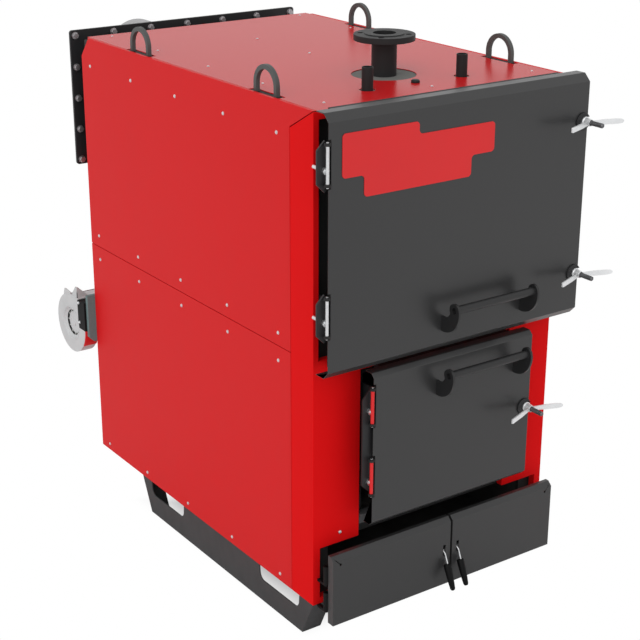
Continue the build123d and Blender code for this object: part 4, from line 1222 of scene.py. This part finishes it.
@dataclass
class Casing:
    """Red casing: frame, side panels, top and rear sheets with their screws, and the skids."""

    half_width: float = 460.0
    height: float = DATUM.casing_height
    side_screw_backs: Tuple[float, ...] = (180.0, 465.0, 750.0, 1036.0, 1323.0)
    side_screw_heights: Tuple[float, ...] = (26.0, 748.0, 836.0, 1437.0)
    top_screw_columns: Tuple[float, ...] = (-376.0, 393.0)
    top_screw_backs: Tuple[float, ...] = (70.0, 378.0, 685.0, 1000.0, 1315.0)
    middle_screws: Tuple[float, ...] = (5.0, 70.0, 691.0, 1000.0)
    front_screw: Tuple[float, float] = (361.0, 224.0)
    sill_half: float = 288.0
    eye_backs: Tuple[float, float] = (265.0, 1003.0)
    # Inner and outer side, low and high of the deep black sheets that paint the shade in the eye slots
    painted_shade_bounds: Tuple[float, float, float, float] = (425.0, 447.0, 1526.6, 1527.5)
    painted_shade_half: float = 59.0

    def build(self) -> None:
        """Builds the casing."""
        softened("front_frame", Finish.FRONT_RED_PAINTED_LIGHT, 1.2)
        for side in ("left", "right"):
            for part in ("upper", "lower"):
                softened(f"side_panel_{side}_{part}", Finish.SIDE_RED, 1.6)
            softened(f"skid_{side}", Finish.SKID_GREY, 2.2, 3)
        softened("top_panel", Finish.TOP_RED_PAINTED_SHADE, 1.0)
        softened("rear_panel", Finish.SIDE_RED, 0.8)
        repainted(Finish.BLANKET, "insulation_blanket")
        self._slot_painted_shade()
        self._screws()
        self._sill()

    def _slot_painted_shade(self) -> None:
        """Deep black sheets under the slots of the lifting eyes: painted shade in the slots."""
        painted_shade = Shape()
        inner, outer, low, high = self.painted_shade_bounds
        for side in (-1, 1):
            for back in self.eye_backs:
                ends = sorted((side * inner, side * outer))
                front, rear = back - self.painted_shade_half, back + self.painted_shade_half
                painted_shade.block((ends[0], front, low), (ends[1], rear, high))
        painted_shade.piece("slot_painted_shade", Finish.DEEP_BLACK, "casing", "black_coat")

    def _screws(self) -> None:
        """Sets the casing's screws."""
        sides = [(y, z) for y in self.side_screw_backs for z in self.side_screw_heights]
        tops = [(x, y) for x in self.top_screw_columns for y in self.top_screw_backs]
        tops += [(self.middle_screws[0], y) for y in self.middle_screws[1:]]
        for side, way, sign in (("left", Way.LEFT, -1), ("right", Way.RIGHT, 1)):
            points = [(sign * self.half_width, y, z) for y, z in sides]
            PANEL_SCREW.fit(f"{side}_panel_screws", way, points)
        TOP_SCREW.fit("top_panel_screws", Way.UP, [(x, y, self.height) for x, y in tops])
        x, z = self.front_screw
        PANEL_SCREW.fit("front_screws", Way.FRONT, [(-x, 0.0, z), (x, 0.0, z)])

    def _sill(self) -> None:
        """Dark sill between the fire door and the ash doors."""
        half = self.sill_half
        outline = [(0, 229), (24, 229), (24, 262), (-6, 262), (-6, 256), (0, 252)]
        sill = Shape().prism(outline, -half, half, Way.RIGHT)
        sill.piece("ash_sill", Finish.DARK_PLATE, "casing", "boiler_plate", 1.0)


# Doors

@dataclass
class Door:
    """One firing door: folded skin, body, lining, sealing rope, handle, keepers and badge plate."""

    name: str
    half: float
    bottom: float
    top: float
    keepers: str
    badge: str = ""
    rope_back: float = -7.5
    rope_radius: float = 9.0
    rope_inset: float = 78.0
    rope_margin: float = 24.0

    def build(self) -> None:
        """Builds the door."""
        softened(f"{self.name}_skin", Finish.DOOR_GREY, 1.6, 3)
        softened(f"{self.name}_handle", Finish.HANDLE_BLACK, 1.2)
        softened(self.keepers, Finish.BLACK, 0.8)
        softened(f"{self.name}_body", Finish.BLACK_PLATE, 1.0)
        if self.badge:
            softened(self.badge, Finish.PLATE_RED, 0.5)
        repainted(Finish.FIBRE, f"{self.name}_lining")
        self._rope()

    def _rope(self) -> None:
        """Sealing rope round the lining."""
        half, y = self.half - self.rope_inset, self.rope_back
        low, high = self.bottom + self.rope_margin, self.top - self.rope_margin
        loop = [(-half, y, low), (half, y, low), (half, y, high), (-half, y, high)]
        sizes = {"Radius": self.rope_radius, "Step": 12.0, "Ripple": 0.06, "Sides": 10}
        BEADS.run(f"{self.name}_rope", loop, sizes, Finish.ROPE, self.name, "fibre", True)


@dataclass
class WingNut:
    """Threaded stud with its wing nut at a door's right edge."""

    node: str
    body: str
    x: float
    z: float
    face: float
    gap: float = 5.3
    hub_length: float = 26.0
    arm_lengths: Tuple[float, float] = (122.0, 110.0)
    arm_sweep: float = 21.0
    arm_ahead: float = 6.0
    arm_thickness: float = 5.2
    stud_radius: float = 7.5
    stud_ahead: float = 49.0
    stud_rear: float = 34.0
    thread_pitch: float = 2.5
    thread_ridge: float = 0.7

    def build(self) -> None:
        """Builds the nut and its stud."""
        rear = self.face - self.gap
        front = rear - self.hub_length
        self._nut(front, rear)
        length = self.stud_ahead - self.stud_rear - front
        sizes = {
            "Facing": Way.FRONT.turn(),
            "Radius": self.stud_radius,
            "Length": length - self.stud_radius * STUD_END,
            "Turns": length / self.thread_pitch,
            "Ridge": self.thread_ridge,
        }
        start = [(self.x, -self.stud_rear, self.z)]
        THREADS.run(f"{self.node}_stud", start, sizes, Finish.DARK_ZINC, self.body, "zinc")

    def _nut(self, front: float, rear: float) -> None:
        """Builds the nut: a turned hub and two swept arms.

        Args:
            front: Front end of the hub.
            rear: Rear end of the hub.
        """
        nut = Shape()
        profile = [
            (rear, 9.0), (rear, 15.0), (rear - 4.0, 15.0), (rear - 6.0, 13.2),
            (front + 3.0, 11.0), (front, 10.0), (front, 9.0),
        ]
        nut.turned(profile, (self.x, self.z), Way.FRONT, 36, ring=True)
        middle = Vector((self.x, (front + rear) / 2 - self.arm_ahead, self.z))
        half = self.arm_thickness / 2
        for side, tip in zip((-1, 1), self.arm_lengths):
            sweep = Matrix.Rotation(math.radians(-side * self.arm_sweep), 4, "Z")
            place = Matrix.Translation(middle) @ sweep @ Matrix.Scale(side, 4, (1, 0, 0))
            end = [(tip - 2.0, 7.8), (tip, 6.6)]
            if side > 0:
                end = [(tip * 0.8, 8.0), (tip - 5.0, 6.2), (tip, 2.4)]
            upper = [(8.0, 5.0), (tip * 0.2, 6.2), (tip * 0.45, 8.0)] + end
            outline = upper + [(x, -z) for x, z in reversed(upper)]
            nut.prism(outline, -half, half, Way.FRONT, place)
        nut.piece(f"{self.node}_wings", Finish.CAST_ZINC, self.body, "zinc", 1.4, 3, [self.node])


@dataclass
class Hinges:
    """Hinge plates, pins, painted red reflection over the lower door's pins, and latch lugs on the casing."""

    painted_reflection_axis: Tuple[float, float] = (-311.5, -88.0)
    painted_reflection_heights: Tuple[float, float] = (429.0, 657.0)
    painted_reflection_half: float = 51.8
    painted_reflection_radius: float = 5.4

    def build(self) -> None:
        """Builds the fixed hinge pieces."""
        softened("hinge_plates", Finish.BLACK, 0.9)
        softened("hinge_pins", Finish.ZINC, 0.5)
        softened("latch_lugs", Finish.BLACK, 1.0)
        # Red cylinders over the lower door's pins: painted reflection of the red front frame in their metal
        sleeves = Shape()
        for height in self.painted_reflection_heights:
            low, high = height - self.painted_reflection_half, height + self.painted_reflection_half
            sleeves.rod(low, high, self.painted_reflection_radius, self.painted_reflection_axis, Way.UP, 28)
        sleeves.piece("lower_pin_painted_reflection", Finish.PLATE_RED, "casing", "red_coat")


# Ash doors

@dataclass
class AshLever:
    """Lever that hangs on an ash door's leaf: a cranked zinc shank, its pin and a black grip."""

    side: str
    x: float
    pivot_y: float = -67.0
    pivot_z: float = 78.0
    knee: float = 12.0
    knee_drop: float = 9.0
    tilt: float = 24.0
    shank: float = 34.0
    shank_width: float = 10.0
    shank_thickness: float = 4.0
    overlap: float = 3.0
    grip: float = 86.0
    pin_reach: float = 10.0
    pin_radius: float = 4.0

    def build(self) -> None:
        """Builds the shank with its pin, and the grip."""
        knee = Vector((self.x, self.pivot_y - self.knee, self.pivot_z - self.knee_drop))
        hang = Matrix.Translation(knee) @ Matrix.Rotation(math.radians(-self.tilt), 4, "X")
        node, body = f"ash_lever_{self.side}", f"{self.side}_lever"
        shank = self._shank(hang)
        shank.piece(f"{node}_shank", Finish.ZINC, body, "zinc", 0.6, 2, [node])
        top = self.overlap - self.shank
        end = top - self.grip
        profile = [
            (top, 0.0), (top, 9.4), (top - 2.0, 11.4), (top - 6.0, 11.8), (top - 30.0, 11.2),
            (end + 24.0, 9.6), (end + 6.0, 8.0), (end + 1.5, 6.0), (end, 3.0), (end, 0.0),
        ]
        grip = Shape().turned(profile, (0.0, 0.0), Way.UP, 28, turn=hang)
        grip.piece(f"{node}_grip", Finish.GRIP, body, "black_coat")

    def _shank(self, hang: Matrix) -> Shape:
        """Shapes the shank and the pin.

        Args:
            hang: Placement of the part below the knee.

        Returns:
            The shape.
        """
        x, reach = self.x, self.pin_reach
        half, thin = self.shank_width / 2, self.shank_thickness / 2
        pivot = Vector((x, self.pivot_y, self.pivot_z))
        lean = Matrix.Rotation(math.atan2(self.knee_drop, self.knee), 4, "X")
        arm = math.hypot(self.knee, self.knee_drop)
        steel = Shape()
        steel.block((-thin, -arm, -half), (thin, 0.0, half), Matrix.Translation(pivot) @ lean)
        for centre in (pivot, hang.translation):
            steel.rod(x - thin, x + thin, half, (centre.y, centre.z), Way.RIGHT, 24)
        steel.block((-thin, -half, -self.shank), (thin, half, 0.0), hang)
        return steel.rod(x - reach, x + reach, self.pin_radius, (pivot.y, pivot.z), Way.RIGHT, 20)


@dataclass
class AshDoors:
    """Two folded leaves with their hinge brackets, knuckle sleeves and hanging levers."""

    lever_places: Tuple[float, float] = (-10.0, 44.0)
    knuckle_x: float = 438.5
    knuckle_y: float = -40.0
    knuckle_radius: float = 9.5
    knuckle_spans: Tuple[Tuple[float, float], ...] = ((1.0, 61.0), (91.0, 151.0))
    web_front: float = -49.6
    web_half: float = 2.1

    def build(self) -> None:
        """Builds leaves, brackets, sleeves and levers."""
        softened("ash_hinge_brackets", Finish.DEEP_BLACK, 0.8)
        for side, sign, x in zip(("left", "right"), (-1, 1), self.lever_places):
            softened(f"ash_leaf_{side}", Finish.DOOR_GREY, 1.2)
            self._knuckle_sleeves(side, sign * self.knuckle_x)
            AshLever(side, x).build()

    def _knuckle_sleeves(self, side: str, x: float) -> None:
        """Black sleeves over a leaf's knuckles and the webs that carry them.

        Args:
            side: Name of the side.
            x: The knuckles' place across.
        """
        sleeves = Shape()
        for low, high in self.knuckle_spans:
            sleeves.rod(low, high, self.knuckle_radius, (x, self.knuckle_y), Way.UP, 32)
            end = (x + self.web_half, self.knuckle_y, high)
            sleeves.block((x - self.web_half, self.web_front, low), end)
        name = f"knuckle_sleeves_{side}"
        sleeves.piece(name, Finish.DEEP_BLACK, f"{side}_leaf", "black_coat")


# Top

@dataclass
class TopFittings:
    """Supply and return pipes, stubs, sensor pocket, lifting eyes and the supply flange's weld."""

    supply_back: float = 292.0
    pipe_radius: float = 38.05
    flange_low: float = 1633.0
    weld_radius: float = 4.0
    weld_steps: int = 30

    def build(self) -> None:
        """Builds the top's fittings."""
        edges = {"supply_pipe": 0.9, "return_pipe": 0.9, "stub_pipes": 0.6, "sensor_pocket": 0.8}
        for node, edge in edges.items():
            softened(node, Finish.PIPE_BLACK, edge)
        for side in ("left", "right"):
            softened(f"lifting_eyes_{side}", Finish.FORGED_GREY, 1.2)
        ring = []
        for step in range(self.weld_steps):
            turn = math.tau * step / self.weld_steps
            x, y = self.pipe_radius * math.cos(turn), self.pipe_radius * math.sin(turn)
            ring.append((x, self.supply_back + y, self.flange_low))
        radius = self.weld_radius
        sizes = {"Radius": radius, "Step": radius, "Ripple": 0.12, "Sides": 8}
        BEADS.run("supply_weld", ring, sizes, Finish.WELD, "casing", "black_coat", True)


# Flue

@dataclass
class Flue:
    """Flue neck, bolted flange, smoke box and spigot."""

    front: float = 1460.0
    rear: float = 1470.0
    half: float = 444.5
    low: float = 1083.0
    high: float = 1519.0
    across_steps: int = 6
    height_steps: int = 4

    def build(self) -> None:
        """Builds the flue."""
        softened("flue_flange", Finish.BLACK, 1.2)
        softened("flue_neck", Finish.BLACK, 1.0)
        softened("smoke_box", Finish.BLACK, 2.0, 3)
        softened("flue_outlet", Finish.SPIGOT, 0.8)
        spots = self._bolt_spots()
        for name, way, y in (("bolts", Way.FRONT, self.front), ("nuts", Way.REAR, self.rear)):
            FLANGE_BOLT.fit(f"flue_flange_{name}", way, [(x, y, z) for x, z in spots])

    def _bolt_spots(self) -> List[Tuple[float, float]]:
        """Places of the bolts round the flange.

        Returns:
            Pairs of place across and height.
        """
        spots = []
        for step in range(self.across_steps + 1):
            x = -self.half + 2 * self.half * step / self.across_steps
            spots += [(x, self.low), (x, self.high)]
        for step in range(1, self.height_steps):
            z = self.low + (self.high - self.low) * step / self.height_steps
            spots += [(-self.half, z), (self.half, z)]
        return spots


# Blower

@dataclass
class Blower:
    """Air box, adapter, bracket, scroll, wheel and motor."""

    left: float = -498.0
    right: float = -446.0
    axis: Tuple[float, float] = (1515.0, 456.0)
    inlet_radius: float = 62.0
    throat_radius: float = 50.0
    wheel_front: float = -484.0
    hub_radius: float = 41.0
    spout_top: float = 566.0
    shelf_front: float = 1447.0
    shelf_rear: float = 1508.0
    gasket_right: float = -400.0
    gasket_width: float = 3.0
    motor_radius: float = 52.0
    motor_length: float = 92.0
    fin_count: int = 24
    fin_reach: float = 9.0
    fin_play: float = 3.0
    flange_depth: float = 9.0
    cowl_depth: float = 26.0
    box_right: float = -382.0
    box_places: Tuple[float, ...] = (1462.0, 1508.0, 496.0, 570.0)
    screw_places: Tuple[Tuple[float, float], ...] = ((1443.0, 556.0), (1442.0, 481.0))
    ear_front: float = 1456.0

    def build(self) -> None:
        """Builds the blower."""
        softened("fan_duct", Finish.DUCT_SHEET, 1.2)
        # The adapter's deep black is partly its black paint and partly painted shade, the scroll's shadow on
        # the air box's left side
        softened("fan_adapter", Finish.DEEP_BLACK, 1.0)
        softened("fan_bracket", Finish.PLATE_RED, 0.8)
        softened("fan_scroll", Finish.CAST_ALLOY, 2.4, 3)
        repainted(Finish.WHEEL_SHEET, "impeller")
        self._inlet()
        self._wheel_cover()
        self._shelf()
        self._motor()
        self._terminal_box()
        places = [(self.left, y, z) for y, z in self.screw_places]
        BLOWER_SCREW.fit("blower_screws", Way.LEFT, places)
        self._ears()

    @staticmethod
    def _cast(shape: Shape, name: str, body: str = "casing", bevel: float = 0.0, segments: int = 2) -> None:
        """Finishes a shape as a die-cast piece."""
        shape.piece(name, Finish.CAST_ALLOY, body, "fan_casting", bevel, segments)

    def _inlet(self) -> None:
        """Rolled lip of the inlet and the bell mouth that leads to the wheel."""
        x, low, throat = self.left, self.inlet_radius, self.throat_radius
        profile = [
            (x + 9.0, throat - 1.6), (x + 4.0, low - 4.0), (x - 0.5, low - 1.0), (x - 1.5, low + 2.0),
            (x - 0.5, low + 4.0), (x + 1.0, low + 2.0), (x + 4.5, low - 1.6), (x + 9.0, throat),
        ]
        self._cast(Shape().turned(profile, self.axis, Way.LEFT, 64, ring=True), "inlet_lip")

    def _wheel_cover(self) -> None:
        """Domed hub plate of the wheel, which turns with it."""
        x, radius = self.wheel_front, self.hub_radius
        dome = [
            (x, 0.0), (x, radius), (x - 0.8, radius), (x - 1.6, radius - 6.0), (x - 2.2, 15.0),
            (x - 4.6, 13.0), (x - 4.8, 5.0), (x - 3.6, 4.0), (x - 3.6, 0.0),
        ]
        self._cast(Shape().turned(dome, self.axis, Way.LEFT, 48), "wheel_cover", "fan_wheel")

    def _shelf(self) -> None:
        """Sheet over the spout with the red edge of its gasket."""
        top, rear = self.spout_top, self.shelf_rear
        shelf = Shape().block((self.left - 1.0, self.shelf_front, top), (self.right, rear, top + 4.0))
        self._cast(shelf, "spout_cover", bevel=0.8)
        high = (self.gasket_right, rear + self.gasket_width, top + 5.0)
        gasket = Shape().block((self.left + 5.0, rear, top), high)
        gasket.piece("spout_gasket", Finish.GASKET_RED, "casing", "red_coat", 0.4)

    def _motor(self) -> None:
        """Motor with its flange, cowl and cooling fins."""
        start, end = self.right, self.right + self.motor_length
        radius = self.motor_radius
        inner = radius - 10.0
        low, high = start + self.flange_depth, end - self.cowl_depth
        profile = [
            (start, 0.0), (start, radius), (low - 1.0, radius), (low, inner),
            (high, inner), (high, radius - 2.0), (end - 4.0, radius - 3.0),
            (end, radius - 12.0), (end, 0.0),
        ]
        shell = Shape().turned(profile, self.axis, Way.RIGHT, 56)
        shell.piece("motor_shell", Finish.BLACK, "casing", "black_coat", 1.0, 2, ["fan_motor"])
        sizes = {
            "Facing": Way.RIGHT.turn(),
            "Count": self.fin_count,
            "Middle radius": radius - 8.0,
            "Vane reach": self.fin_reach,
            "Vane thickness": 2.4,
            "Vane length": high - low - self.fin_play,
        }
        middle = [((low + high) / 2, *self.axis)]
        VANES.run("motor_fins", middle, sizes, Finish.BLACK, "casing", "black_coat")

    def _terminal_box(self) -> None:
        """Terminal box on the motor, with its lid."""
        front, rear, low, high = self.box_places
        box = Shape().block((self.right, front, low), (self.box_right, rear, high - 6.0))
        box.block((self.right, front - 1.5, high - 5.0), (self.box_right, rear, high))
        self._cast(box, "terminal_box", bevel=1.6, segments=3)

    def _ears(self) -> None:
        """Fixing ears on top of the scroll: two along its face and one across it."""
        x, front = self.left + 1.0, self.ear_front
        ears = Shape()
        for outline in (
            [(front, 562), (1500, 562), (1494, 580), (1468, 611), (1461, 611), (front, 590)],
            [(1572, 545), (1510, 562), (1516, 577), (1551, 581), (1560, 579)],
        ):
            ears.prism(outline, x, x + 4.0, Way.RIGHT)
        low, high = self.spout_top, 611.0
        across = [(x, low), (x + 47.0, low), (x + 43.0, 575.0), (x + 5.0, high), (x, high)]
        ears.prism(across, front, front + 4.0, Way.FRONT)
        self._cast(ears, "scroll_ears", bevel=0.8)


# Boiler body

@dataclass
class BoilerBody:
    """Water walls, chambers, door surround and grate that show when the doors are open."""

    sooty: Tuple[str, ...] = ("wall_left", "wall_right", "back", "floor", "crown")
    surround: Tuple[str, ...] = ("posts", "bars", "jambs")

    def build(self) -> None:
        """Gives the body's plates their finishes."""
        repainted(Finish.SOOTY_PLATE, *(f"body_{part}" for part in self.sooty))
        repainted(Finish.PLATE, "body_ceiling")
        repainted(Finish.BLACK_PLATE, *(f"door_surround_{part}" for part in self.surround))
        repainted(Finish.GRATE_IRON, "grate")


def main() -> None:
    """Builds the boiler and its studio."""
    Studio().build()
    Casing().build()
    BoilerBody().build()
    Door("upper_door", 476.0, 780.0, 1541.0, "upper_door_keepers", "badge_plate").build()
    Door("lower_door", 307.0, 265.0, 758.0, "lower_door_keeper").build()
    WingNut("wing_nut_upper_low", "upper_low_nut", 460.0, 922.0, -96.0).build()
    WingNut("wing_nut_upper_high", "upper_high_nut", 460.0, 1400.0, -96.0).build()
    WingNut("wing_nut_lower", "lower_nut", 291.0, 508.0, -88.0).build()
    Hinges().build()
    AshDoors().build()
    TopFittings().build()
    Flue().build()
    Blower().build()


if __name__ == "__main__":
    main()
